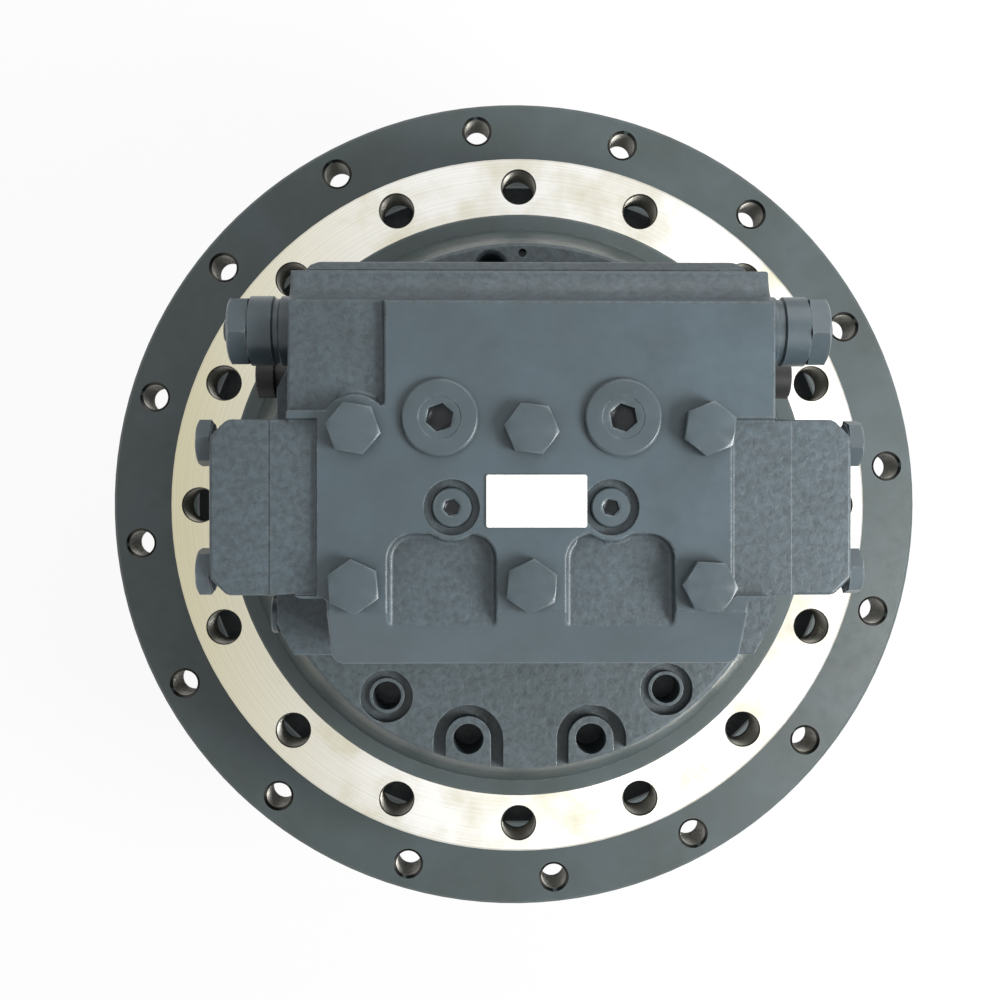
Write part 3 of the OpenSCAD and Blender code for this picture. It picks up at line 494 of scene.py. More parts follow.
def threaded_rod(name: str, core: float, major: float, pitch: float, z0: float,
                 z1: float) -> bpy.types.Object:
    """A closed bar with a real screw thread, cut flat at both ends.

    Args:
        name: the piece's name.
        core: radius at the root of the thread.
        major: radius at its crest.
        pitch: rise of one turn.
        z0: lower level.
        z1: upper level.

    Returns:
        The bar.
    """
    steps = 28
    turns = math.ceil((z1 - z0) / pitch) + 2
    # No corner of the thread lands on the two cuts from here
    foot = z0 - 1.345 * pitch
    profile = [(core, 0.0), (core, 0.2), (major, 0.5), (major, 0.65), (core, 0.95), (core, 1.0)]
    piece = draw(name, [Vector((mm(r), 0, mm(foot + share * pitch))) for r, share in profile])
    add_modifier(piece, "SCREW", angle=2 * math.pi, screw_offset=mm(pitch), iterations=turns,
                 steps=steps, render_steps=steps, use_merge_vertices=True, merge_threshold=WELD)
    with editing(piece, "VERT"):
        for level, sign in ((z0, -1), (z1, 1)):
            bpy.ops.mesh.select_all(action="SELECT")
            bpy.ops.mesh.remove_doubles(threshold=WELD)
            bpy.ops.mesh.bisect(plane_co=(0, 0, mm(level)), plane_no=(0, 0, sign), use_fill=True,
                                clear_outer=True, threshold=mm(0.0005))
        bpy.ops.mesh.select_all(action="SELECT")
        bpy.ops.mesh.remove_doubles(threshold=WELD)
        bpy.ops.mesh.normals_make_consistent(inside=False)
    return piece


@dataclass(frozen=True)
class Coil:
    """Sizes of a spring of round wire: its mean radius, wire diameter, length and working turns.

    The steps are the facets of one turn.
    """

    mean: float
    wire: float
    length: float
    turns: int
    steps: int

    def wind(self, name: str) -> bpy.types.Object:
        """The spring, standing on z = 0, with its two end turns closed.

        Args:
            name: the piece's name.

        Returns:
            The closed piece.
        """
        deselect()
        closed = 1.05 * self.wire
        first, last = 1.55 * self.wire, self.length - 1.55 * self.wire
        pitch = (last - first) / self.turns
        parts = []
        for start, rise, count in ((self.wire / 2, closed, 1), (first, pitch, self.turns),
                                   (last, closed, 1)):
            bpy.ops.mesh.primitive_circle_add(
                vertices=10, radius=mm(self.wire / 2), location=(mm(self.mean), 0, mm(start)),
                rotation=(math.radians(90), 0, 0)
            )
            part = bpy.context.view_layer.objects.active
            settle(part, part.matrix_world.copy())
            add_modifier(part, "SCREW", angle=2 * math.pi, screw_offset=mm(rise), iterations=count,
                         steps=self.steps, render_steps=self.steps, use_merge_vertices=True,
                         merge_threshold=WELD)
            parts.append(part)
        piece = join(parts, name)
        with editing(piece, "EDGE"):
            bpy.ops.mesh.select_all(action="SELECT")
            bpy.ops.mesh.remove_doubles(threshold=mm(0.02))
            bpy.ops.mesh.select_all(action="DESELECT")
            bpy.ops.mesh.select_non_manifold(extend=False, use_boundary=True, use_wire=False,
                                             use_multi_face=False, use_non_contiguous=False,
                                             use_verts=False)
            bpy.ops.mesh.edge_face_add()
            bpy.ops.mesh.select_all(action="SELECT")
            bpy.ops.mesh.normals_make_consistent(inside=False)
        return piece


def smooth(piece: bpy.types.Object) -> None:
    """Smooth shading that keeps sharp edges and leaves flat faces flat.

    Args:
        piece: the finished mesh.
    """
    activate(piece)
    bpy.ops.object.shade_smooth_by_angle(angle=SMOOTH_ANGLE)
    add_modifier(piece, "WEIGHTED_NORMAL", keep_sharp=True, weight=80)


def fit(piece: bpy.types.Object, body: str, slot: str, *nodes: str) -> None:
    """Smooths a finished piece, hangs it on its body, and hides the CAD nodes that it stands for.

    Args:
        piece: the finished piece.
        body: the CAD body that it rides on.
        slot: the record's material slot; not used.
        nodes: the CAD nodes that it stands for.
    """
    smooth(piece)
    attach(piece, body)
    if nodes:
        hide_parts(*nodes)
    log.info("%s: %d faces, rides on %s", piece.name, len(piece.data.polygons), body)


# Finishes

# Sockets of a colour mix, whose names the mix node's other kinds share
SHARE, FIRST, SECOND, MIXED = 0, 6, 7, 2

BARE_EDGE = "#8f989b"
# Colour of the painted shade laid into corners that nearby walls hide
PAINTED_CORNER_SHADE = "#23292b"
SAND_PIT = "#2c3234"
TOOL_MARK = "#5a5c5c"


def linear(hex_colour: str) -> tuple[float, float, float, float]:
    """Turns an sRGB colour to the linear one that a shader takes.

    Args:
        hex_colour: a hash and six hex digits.

    Returns:
        Linear RGBA.
    """
    parts = [int(hex_colour[i:i + 2], 16) / 255 for i in (1, 3, 5)]
    red, green, blue = (p / 12.92 if p <= 0.04045 else ((p + 0.055) / 1.055) ** 2.4 for p in parts)
    return red, green, blue, 1.0


def per(size: float) -> float:
    """Texture scale at which one feature of a pattern is so many millimetres wide."""
    return 1000.0 / size


def add_node(tree: bpy.types.NodeTree, kind: str, inputs: dict[Any, Any] | None = None,
             **settings: Any) -> bpy.types.Node:
    """Adds one shader node.

    Args:
        tree: the node tree of a material or the world.
        kind: the node's type, without its ShaderNode prefix.
        inputs: what each input gets, by name or number: a value, an output socket, or a node,
            which stands for its first output.
        settings: the node's own properties.

    Returns:
        The node.
    """
    node = tree.nodes.new("ShaderNode" + kind)
    for name, value in settings.items():
        setattr(node, name, value)
    for key, value in (inputs or {}).items():
        source = value.outputs[0] if isinstance(value, bpy.types.Node) else value
        if isinstance(source, bpy.types.NodeSocket):
            tree.links.new(source, node.inputs[key])
        else:
            node.inputs[key].default_value = source
    return node


def empty_tree(owner: bpy.types.Material | bpy.types.World) -> bpy.types.NodeTree:
    """Clears the nodes of a material or the world.

    Args:
        owner: the material or the world.

    Returns:
        Its node tree.
    """
    owner.use_nodes = True
    owner.node_tree.nodes.clear()
    return owner.node_tree


def grooves_about_z(tree: bpy.types.NodeTree, place: bpy.types.NodeSocket, pitch: float,
                    **noise: float) -> bpy.types.Node:
    """Lathe grooves: noise that runs outwards from the Z axis and is even around it.

    Args:
        tree: the material's node tree.
        place: object coordinates.
        pitch: distance between two grooves, in millimetres.
        noise: further inputs of the noise.

    Returns:
        The node whose first output is the height.
    """
    flat = add_node(tree, "VectorMath", {0: place, 1: (1.0, 1.0, 0.0)}, operation="MULTIPLY")
    radius = add_node(tree, "VectorMath", {0: flat}, operation="LENGTH").outputs["Value"]
    count = add_node(tree, "Math", {0: radius, 1: per(pitch)}, operation="MULTIPLY")
    return add_node(tree, "TexNoise", {"W": count, "Scale": 1.0, **noise}, noise_dimensions="1D")


class Ground(Enum):
    """What the enamel is sprayed on."""

    MILLED = "milled"
    TURNED = "turned"
    SAND_CAST = "sand cast"


class Marks(Enum):
    """How a bare metal face was cut."""

    TURNED = "turned"
    GROUND = "ground"
    ROLLED = "rolled"


@dataclass(frozen=True)
class Finish:
    """A surface with a base colour, and a shade that lies over it in soft patches."""

    name: str
    colour: str
    shade: str

    def surface(self, tree: bpy.types.NodeTree, place: bpy.types.NodeSocket) -> bpy.types.Node:
        """The shader, which each kind of finish makes in its own way.

        Args:
            tree: the material's empty node tree.
            place: object coordinates.

        Returns:
            The shader node.
        """
        raise NotImplementedError

    def build(self) -> bpy.types.Material:
        """Makes the material.

        Returns:
            The material.
        """
        material = bpy.data.materials.new(self.name)
        tree = empty_tree(material)
        place = add_node(tree, "TexCoord").outputs["Object"]
        add_node(tree, "OutputMaterial", {"Surface": self.surface(tree, place)})
        return material

    def shaded(self, tree: bpy.types.NodeTree, share: bpy.types.Node) -> bpy.types.NodeSocket:
        """The base colour with so much of the shade over it."""
        return add_node(tree, "Mix", {SHARE: share, FIRST: linear(self.colour),
                                      SECOND: linear(self.shade)}, data_type="RGBA").outputs[MIXED]


@dataclass(frozen=True)
class Enamel(Finish):
    """Machinery enamel, sprayed on in one thick coat.

    The eye sees a soft sheen with orange peel, cloudy tone, painted shade in corners, and edges rubbed
    thin.
    """

    ground: Ground
    grain: float = 3.0
    relief: float = 0.34
    roughness: float = 0.45
    rubbed: float = 0.55

    def surface(self, tree: bpy.types.NodeTree, place: bpy.types.NodeSocket) -> bpy.types.Node:
        """The coat, which lets the ground under it show through.

        Args:
            tree: the material's empty node tree.
            place: object coordinates.

        Returns:
            The shader node.
        """
        # The tone drifts every 42 mm, and the orange peel is 1.7 mm wide
        cloud = add_node(tree, "TexNoise", {"Vector": place, "Scale": per(42), "Detail": 4.0,
                                            "Roughness": 0.6})
        colour = self.shaded(tree, add_node(tree, "MapRange", {
            "Value": cloud, "From Min": 0.36, "From Max": 0.64}))
        peel = add_node(tree, "TexNoise", {"Vector": place, "Scale": per(1.7), "Detail": 2.0})
        bump = add_node(tree, "Bump", {"Strength": 0.35, "Distance": mm(0.06), "Height": peel})
        if self.ground is Ground.SAND_CAST:
            # Sand grain is about 0.3 mm, too fine to show, so it is drawn as coarse as it needs
            grain = add_node(tree, "TexNoise", {"Vector": place, "Scale": per(self.grain),
                                                "Detail": 6.0, "Roughness": 0.62, "Distortion": 0.4})
            pits = add_node(tree, "TexVoronoi", {"Vector": place, "Scale": per(self.grain * 1.9)})
            sunk = add_node(tree, "MapRange", {"Value": pits, "From Max": 0.5, "To Min": -0.25,
                                               "To Max": 0.1})
            height = add_node(tree, "Math", {0: grain, 1: sunk}, operation="ADD")
            bump = add_node(tree, "Bump", {"Strength": 0.9, "Distance": mm(self.relief),
                                           "Height": height, "Normal": bump})
            low = add_node(tree, "MapRange", {"Value": grain, "From Min": 0.3, "From Max": 0.62,
                                              "To Min": 0.75, "To Max": 0.0})
            colour = add_node(tree, "Mix", {SHARE: low, FIRST: colour, SECOND: linear(SAND_PIT)},
                              data_type="RGBA").outputs[MIXED]
        elif self.ground is Ground.MILLED:
            # Face mill arcs under the coat, 2.5 mm apart
            centred = add_node(tree, "Mapping", {"Vector": place, "Location": (0.31, 0.42, 0.0)})
            arcs = add_node(tree, "TexWave", {
                "Vector": centred, "Scale": per(2.5) / 20, "Distortion": 0.6, "Detail Scale": 6.0,
            }, wave_type="RINGS", rings_direction="Z").outputs["Fac"]
            bump = add_node(tree, "Bump", {"Strength": 0.12, "Distance": mm(0.03), "Height": arcs,
                                           "Normal": bump})
        else:
            grooves = grooves_about_z(tree, place, 1.4, Detail=3.0)
            bump = add_node(tree, "Bump", {"Strength": 0.2, "Distance": mm(0.04), "Height": grooves,
                                           "Normal": bump})
        # The coat is thin over the last 1.6 mm to an edge, and rubbed through in patches of 7 mm
        true_normal = add_node(tree, "NewGeometry").outputs["Normal"]
        round_normal = add_node(tree, "Bevel", {"Radius": mm(1.6)}, samples=4)
        facing = add_node(tree, "VectorMath", {0: true_normal, 1: round_normal},
                          operation="DOT_PRODUCT").outputs["Value"]
        edge = add_node(tree, "MapRange", {"Value": facing, "From Min": 0.995, "From Max": 0.86})
        patchy = add_node(tree, "TexNoise", {"Vector": place, "Scale": per(7), "Detail": 5.0,
                                             "Roughness": 0.7})
        worn = add_node(tree, "MapRange", {"Value": patchy, "From Min": 0.45, "From Max": 0.72,
                                           "To Max": self.rubbed})
        thin = add_node(tree, "Math", {0: edge, 1: worn}, operation="MULTIPLY")
        colour = add_node(tree, "Mix", {SHARE: thin, FIRST: colour, SECOND: linear(BARE_EDGE)},
                          data_type="RGBA").outputs[MIXED]
        # Painted shade: the coat darkens where walls nearer than 14 mm hide the sky
        open_sky = add_node(tree, "AmbientOcclusion", {"Distance": mm(14)}, samples=6).outputs["AO"]
        corner = add_node(tree, "MapRange", {"Value": open_sky, "From Min": 0.85, "From Max": 0.25,
                                             "To Max": 0.6})
        colour = add_node(tree, "Mix", {SHARE: corner, FIRST: colour, SECOND: linear(PAINTED_CORNER_SHADE)},
                          data_type="RGBA").outputs[MIXED]
        rough = add_node(tree, "MapRange", {"Value": patchy, "From Min": 0.3, "From Max": 0.7,
                                            "To Min": self.roughness - 0.07,
                                            "To Max": self.roughness + 0.12})
        return add_node(tree, "BsdfPrincipled", {
            "Base Color": colour, "Roughness": rough, "Normal": bump, "IOR": 1.5,
            "Coat Weight": 0.12, "Coat Roughness": 0.18,
        })


@dataclass(frozen=True)
class BareMetal(Finish):
    """Bare cut metal under a film of preserving oil, which is its shade.

    The eye sees a bright face with fine tool marks that stretch its reflections, and a warm tint
    where the oil has gathered. Where asked, the oil's shade is also laid on towards the left as
    painted shade, a dimmer and warmer reflection on that side.
    """

    marks: Marks
    pitch: float = 0.7
    roughness: float = 0.3
    depth: float = 0.02
    metallic: float = 1.0
    # True to paint a shade that grows dimmer and warmer towards the left
    painted_left_shade: bool = False

    def surface(self, tree: bpy.types.NodeTree, place: bpy.types.NodeSocket) -> bpy.types.Node:
        """The metal with its tool marks and its oil.

        Args:
            tree: the material's empty node tree.
            place: object coordinates.

        Returns:
            The shader node.
        """
        if self.marks is Marks.TURNED:
            # Turning marks are 0.2 mm apart, too fine to show, so they are drawn at the given pitch
            lines = grooves_about_z(tree, place, self.pitch, Detail=4.0, Roughness=0.7)
        else:
            # Grinding marks run along X
            stretch = (0.06, 1.0, 1.0) if self.marks is Marks.GROUND else (1.0, 1.0, 1.0)
            along = add_node(tree, "Mapping", {"Vector": place, "Scale": stretch})
            lines = add_node(tree, "TexNoise", {"Vector": along, "Scale": per(self.pitch),
                                                "Detail": 5.0, "Roughness": 0.65})
        bump = add_node(tree, "Bump", {"Strength": 0.5, "Distance": mm(self.depth), "Height": lines})
        # Oil gathers in patches of 38 mm
        film = add_node(tree, "TexNoise", {"Vector": place, "Scale": per(38), "Detail": 5.0,
                                           "Roughness": 0.6})
        oil_and_left_shade = add_node(tree, "MapRange", {"Value": film, "From Min": 0.42, "From Max": 0.68,
                                          "To Max": 0.75})
        if self.painted_left_shade:
            # Painted shade: the oil's shade is laid on more towards the left, from 60 mm off the axis
            # to 175 mm, as a dimmer and warmer reflection on that side
            across = add_node(tree, "SeparateXYZ", {0: place})
            left_shade_share = add_node(tree, "MapRange", {"Value": across, "From Min": mm(-60),
                                                  "From Max": mm(-175)})
            oil_and_left_shade = add_node(tree, "Math", {0: oil_and_left_shade, 1: left_shade_share}, operation="MAXIMUM", use_clamp=True)
        mark = add_node(tree, "MapRange", {"Value": lines, "From Min": 0.35, "From Max": 0.65,
                                           "To Max": 0.16})
        colour = add_node(tree, "Mix", {SHARE: mark, FIRST: self.shaded(tree, oil_and_left_shade),
                                        SECOND: linear(TOOL_MARK)}, data_type="RGBA").outputs[MIXED]
        rough = add_node(tree, "MapRange", {"Value": film, "From Min": 0.3, "From Max": 0.7,
                                            "To Min": self.roughness + 0.08,
                                            "To Max": self.roughness - 0.05})
        shader = add_node(tree, "BsdfPrincipled", {
            "Base Color": colour, "Metallic": self.metallic, "Roughness": rough, "Normal": bump,
        })
        if self.marks is Marks.TURNED:
            shader.inputs["Anisotropic"].default_value = 0.5
            around = add_node(tree, "Tangent", direction_type="RADIAL", axis="Z")
            tree.links.new(around.outputs[0], shader.inputs["Tangent"])
        return shader


@dataclass(frozen=True)
class Moulded(Finish):
    """Moulded rubber or plastic, or a coat baked on a plate, its shade a faint bloom.

    The eye sees an even skin with fine pits from the mould or the spray.
    """

    roughness: float = 0.6
    pitting: float = 0.9

    def surface(self, tree: bpy.types.NodeTree, place: bpy.types.NodeSocket) -> bpy.types.Node:
        """The skin with its bloom and its pits.

        Args:
            tree: the material's empty node tree.
            place: object coordinates.

        Returns:
            The shader node.
        """
        # The bloom lies in patches of 14 mm
        bloom = add_node(tree, "TexNoise", {"Vector": place, "Scale": per(14), "Detail": 4.0,
                                            "Roughness": 0.6})
        share = add_node(tree, "MapRange", {"Value": bloom, "From Min": 0.4, "From Max": 0.75})
        rough = add_node(tree, "MapRange", {"Value": bloom, "From Min": 0.3, "From Max": 0.7,
                                            "To Min": self.roughness - 0.08,
                                            "To Max": self.roughness + 0.1})
        pits = add_node(tree, "TexNoise", {"Vector": place, "Scale": per(self.pitting),
                                           "Detail": 3.0})
        bump = add_node(tree, "Bump", {"Strength": 0.4, "Distance": mm(0.05), "Height": pits})
        return add_node(tree, "BsdfPrincipled", {"Base Color": self.shaded(tree, share),
                                                 "Roughness": rough, "Normal": bump, "IOR": 1.5})


class Paintshop:
    """Builds each finish once and hands its material out."""

    def __init__(self) -> None:
        """Lists the motor's finishes."""
        self._made: dict[str, bpy.types.Material] = {}
        self.finishes: dict[str, Finish] = {
            "cover_face": Enamel("enamel_on_milled_cover", "#49575e", "#414e54", Ground.MILLED,
                                 roughness=0.38, rubbed=0.4),
            "cover_cast": Enamel("enamel_on_cast_cover", "#4e5c63", "#455157", Ground.SAND_CAST,
                                 grain=2.8, relief=0.28, roughness=0.44),
            "case_cast": Enamel("enamel_on_cast_case", "#546065", "#485458", Ground.SAND_CAST,
                                roughness=0.48),
            "flange": Enamel("enamel_on_turned_flange", "#455052", "#3b4544", Ground.TURNED,
                             rubbed=0.4),
            "bolt_enamel": Enamel("enamel_on_forged_bolts", "#47545a", "#3d494e", Ground.TURNED,
                                  roughness=0.36, rubbed=0.6),
            # The ring's oil shade is painted on more towards its left, as a dimmer, warmer reflection
            # there
            "turned_ring": BareMetal("turned_steel_ring", "#e9e8e3", "#cfc9ab", Marks.TURNED,
                                     roughness=0.34, painted_left_shade=True),
            "machined_steel": BareMetal("turned_steel", "#b9bcbe", "#a29c86", Marks.TURNED),
            "bore_steel": BareMetal("oiled_bore_steel", "#4a4b49", "#2e2c25", Marks.TURNED,
                                    roughness=0.4),
            "thread_steel": BareMetal("tapped_thread_steel", "#8f8d86", "#5d584a", Marks.ROLLED,
                                      pitch=2.0, roughness=0.38),
            "gear_steel": BareMetal("ground_gear_steel", "#9c9fa1", "#7f7b6a", Marks.GROUND,
                                    pitch=1.2, roughness=0.27),
            "dark_steel": BareMetal("blackened_steel", "#3c3f42", "#2a2b2b", Marks.ROLLED,
                                    pitch=1.5, roughness=0.42),
            "spring_steel": BareMetal("oil_hardened_spring_wire", "#54575b", "#3b3a36",
                                      Marks.ROLLED, pitch=1.0, roughness=0.33),
            "cast_iron": BareMetal("machined_cast_iron", "#76787a", "#5c5a52", Marks.TURNED,
                                   pitch=0.9, roughness=0.44),
            "bronze": BareMetal("lapped_bronze", "#b08a4a", "#8a6a36", Marks.TURNED, pitch=0.8),
            "friction": BareMetal("sintered_bronze_facing", "#7d6742", "#5b4a31", Marks.ROLLED,
                                  pitch=1.4, roughness=0.62, depth=0.08, metallic=0.6),
            "copper": BareMetal("annealed_copper", "#b3693f", "#8a4d2c", Marks.ROLLED,
                                roughness=0.35),
            "rubber": Moulded("nitrile_rubber", "#18191a", "#242628", roughness=0.5),
            "plastic": Moulded("black_polyethylene", "#0a0b0b", "#101112", roughness=0.55,
                               pitting=1.6),
            "plate": Moulded("white_stoved_plate", "#f7f7f5", "#efefec", roughness=0.35,
                             pitting=2.5),
        }

    def material(self, name: str) -> bpy.types.Material:
        """The material of one finish, built when it is first asked for.

        Args:
            name: the finish.

        Returns:
            The material.
        """
        if name not in self._made:
            self._made[name] = self.finishes[name].build()
        return self._made[name]

    def paint(self, piece: bpy.types.Object, name: str) -> bpy.types.Object:
        """Gives a whole piece one finish.

        Args:
            piece: the piece.
            name: the finish.

        Returns:
            The piece.
        """
        piece.data.materials.clear()
        piece.data.materials.append(self.material(name))
        piece.data.polygons.foreach_set("material_index", [0] * len(piece.data.polygons))
        return piece

    def paint_where(self, piece: bpy.types.Object, name: str, test: PlaceTest) -> None:
        """Gives some faces of a piece another finish.

        Args:
            piece: the piece, which has its first finish.
            name: the finish.
            test: takes a corner in millimetres and the face's normal, and passes for every
                corner of such a face.
        """
        piece.data.materials.append(self.material(name))
        index = len(piece.data.materials) - 1
        corners = [vertex.co * 1000 for vertex in piece.data.vertices]
        for face in piece.data.polygons:
            if all(test(corners[corner], face.normal) for corner in face.vertices):
                face.material_index = index


# Sub-assemblies


@dataclass
class Casting:
    """A cast or turned body: the CAD solid's mesh, merged, cleaned and given its edge radii."""

    shop: Paintshop
    node: str
    name: str
    finish: str

    def raw(self) -> bpy.types.Object:
        """A clean copy of the CAD node's mesh, with flat faces in one piece.

        Returns:
            The painted copy.
        """
        piece = bpy.data.objects.new(self.name, frame["nodes"][self.node].data.copy())
        bpy.context.scene.collection.objects.link(piece)
        with editing(piece, "VERT"):
            bpy.ops.mesh.select_all(action="SELECT")
            bpy.ops.mesh.customdata_custom_splitnormals_clear()
            bpy.ops.mesh.remove_doubles(threshold=WELD)
            bpy.ops.mesh.select_all(action="SELECT")
            bpy.ops.mesh.dissolve_limited(angle_limit=math.radians(0.5))
        return self.shop.paint(piece, self.finish)

    @staticmethod
    def radius(piece: bpy.types.Object, size: float, test: PlaceTest, convex: bool = True,
               least: float = 40, segments: int = 3) -> None:
        """Rounds the outer edges that pass a test. One that has no room for it is left sharp.

        Args:
            piece: the casting.
            size: width of the rounding, in millimetres.
            test: takes an edge's middle in millimetres and its mean normal.
            convex: True to round edges that stick out, False to fillet inner corners.
            least: the smallest angle that counts as an edge.
            segments: facets across the rounding.
        """
        sharp = piece.data.copy()
        surface = surface_tree(sharp)
        crowded: list[tuple[Vector, float]] = []
        fewest = math.inf
        for attempt in range(1, 7):
            with editing(piece, "EDGE"):
                if pick_outer_edges(piece, test, convex, least, crowded):
                    bpy.ops.mesh.bevel(offset=mm(size), segments=segments, profile=0.5,
                                       clamp_overlap=False, affect="EDGES")
            folds = folded_spots(piece, surface)
            if not folds or len(folds) >= fewest:
                break
            fewest = len(folds)
            crowded += [(spot, mm(1.5 * size * attempt)) for spot in folds]
            piece.data = sharp.copy()


@dataclass
class ThreadedHole:
    """A row of tapped holes: an undercut in the casting, and a ring with a real thread in each.

    The mouth is the width of its chamfer, and the lead how far down the thread starts.
    """

    core: float
    major: float
    pitch: float
    depth: float
    places: Sequence[Matrix]
    mouth: float = 0.6
    lead: float = 1.2

    def cut(self, casting: bpy.types.Object) -> None:
        """Cuts the mouths and undercuts into the casting.

        Args:
            casting: the casting's mesh, with plain holes.
        """
        wide, narrow = self.major + 0.25, self.core + 0.12
        tool = turn_outline("tap", [
            (0, -self.depth), (wide, -self.depth), (wide, -self.lead), (narrow, -self.lead),
            (narrow, -self.mouth), (narrow + self.mouth, 0.01), (narrow + self.mouth, 0.6), (0, 0.6),
        ], 32)
        combine(casting, copies(tool, self.places, "taps"), "DIFFERENCE")

    def rings(self, name: str, shop: Paintshop) -> bpy.types.Object:
        """The threaded rings, all in one piece.

        Args:
            name: the piece's name.
            shop: where the finish comes from.

        Returns:
            The rings.
        """
        low, high = -self.depth + 0.05, -self.lead - 0.05
        ring = rod(name, self.major + 0.22, low, high, 32)
        screw = threaded_rod("screw", self.core, self.major, self.pitch, low - 1, high + 1)
        return shop.paint(copies(combine(ring, screw, "DIFFERENCE"), self.places, name),
                          "thread_steel")


@dataclass
class Screws:
    """Hexagon bolts with a washer face, a turned chamfer and a threaded end.

    The shank is given by its radius, and head, length and thread are measured along the bolt.
    """

    shop: Paintshop
    across_flats: float
    head: float
    shank: float
    length: float
    thread: float
    pitch: float = 1.75
    washer_face: float = 0.6
    finish: str = "bolt_enamel"

    def build(self, name: str, places: Sequence[Matrix]) -> bpy.types.Object:
        """The bolts of one row, their heads' undersides at the given places.

        Args:
            name: the piece's name.
            places: where the bolts go.

        Returns:
            The bolts.
        """
        rim, face = self.across_flats * 0.47, self.washer_face
        head = hexagon("head", self.across_flats, face, self.head)
        washer = turn_outline("washer_face", [(0, 0), (rim, 0), (rim, face), (0, face + 0.3)], 48)
        end, thread_end = -self.length, self.thread - self.length
        core = self.shank - 0.61 * self.pitch
        shank = turn_outline("shank", [
            (0, thread_end - 0.4), (core, thread_end - 0.4), (self.shank, thread_end + 0.4),
            (self.shank, 0.2), (0, 0.2),
        ], 32)
        screw = threaded_rod("screw", core, self.shank, self.pitch, end, thread_end)
        tip = turn_outline("tip", [
            (0, end - 1), (core - 1.2, end - 1), (self.shank + 0.2, end + self.pitch),
            (self.shank + 0.2, thread_end + 1), (0, thread_end + 1),
        ], 32)
        combine(screw, tip, "INTERSECT")
        bolt = join([combine(head, washer, "UNION"), shank, screw], name)
        return self.shop.paint(copies(bolt, places, name), self.finish)


@dataclass(frozen=True)
class Bore:
    """A bore seen along its own axis: where it is, and how far its rim reaches from there."""

    across: float
    up: float
    rim: float

    def holds(self, across: float, up: float, more: float = 0.0) -> bool:
        """True within the rim, or so much more."""
        return math.hypot(across - self.across, up - self.up) < self.rim + more


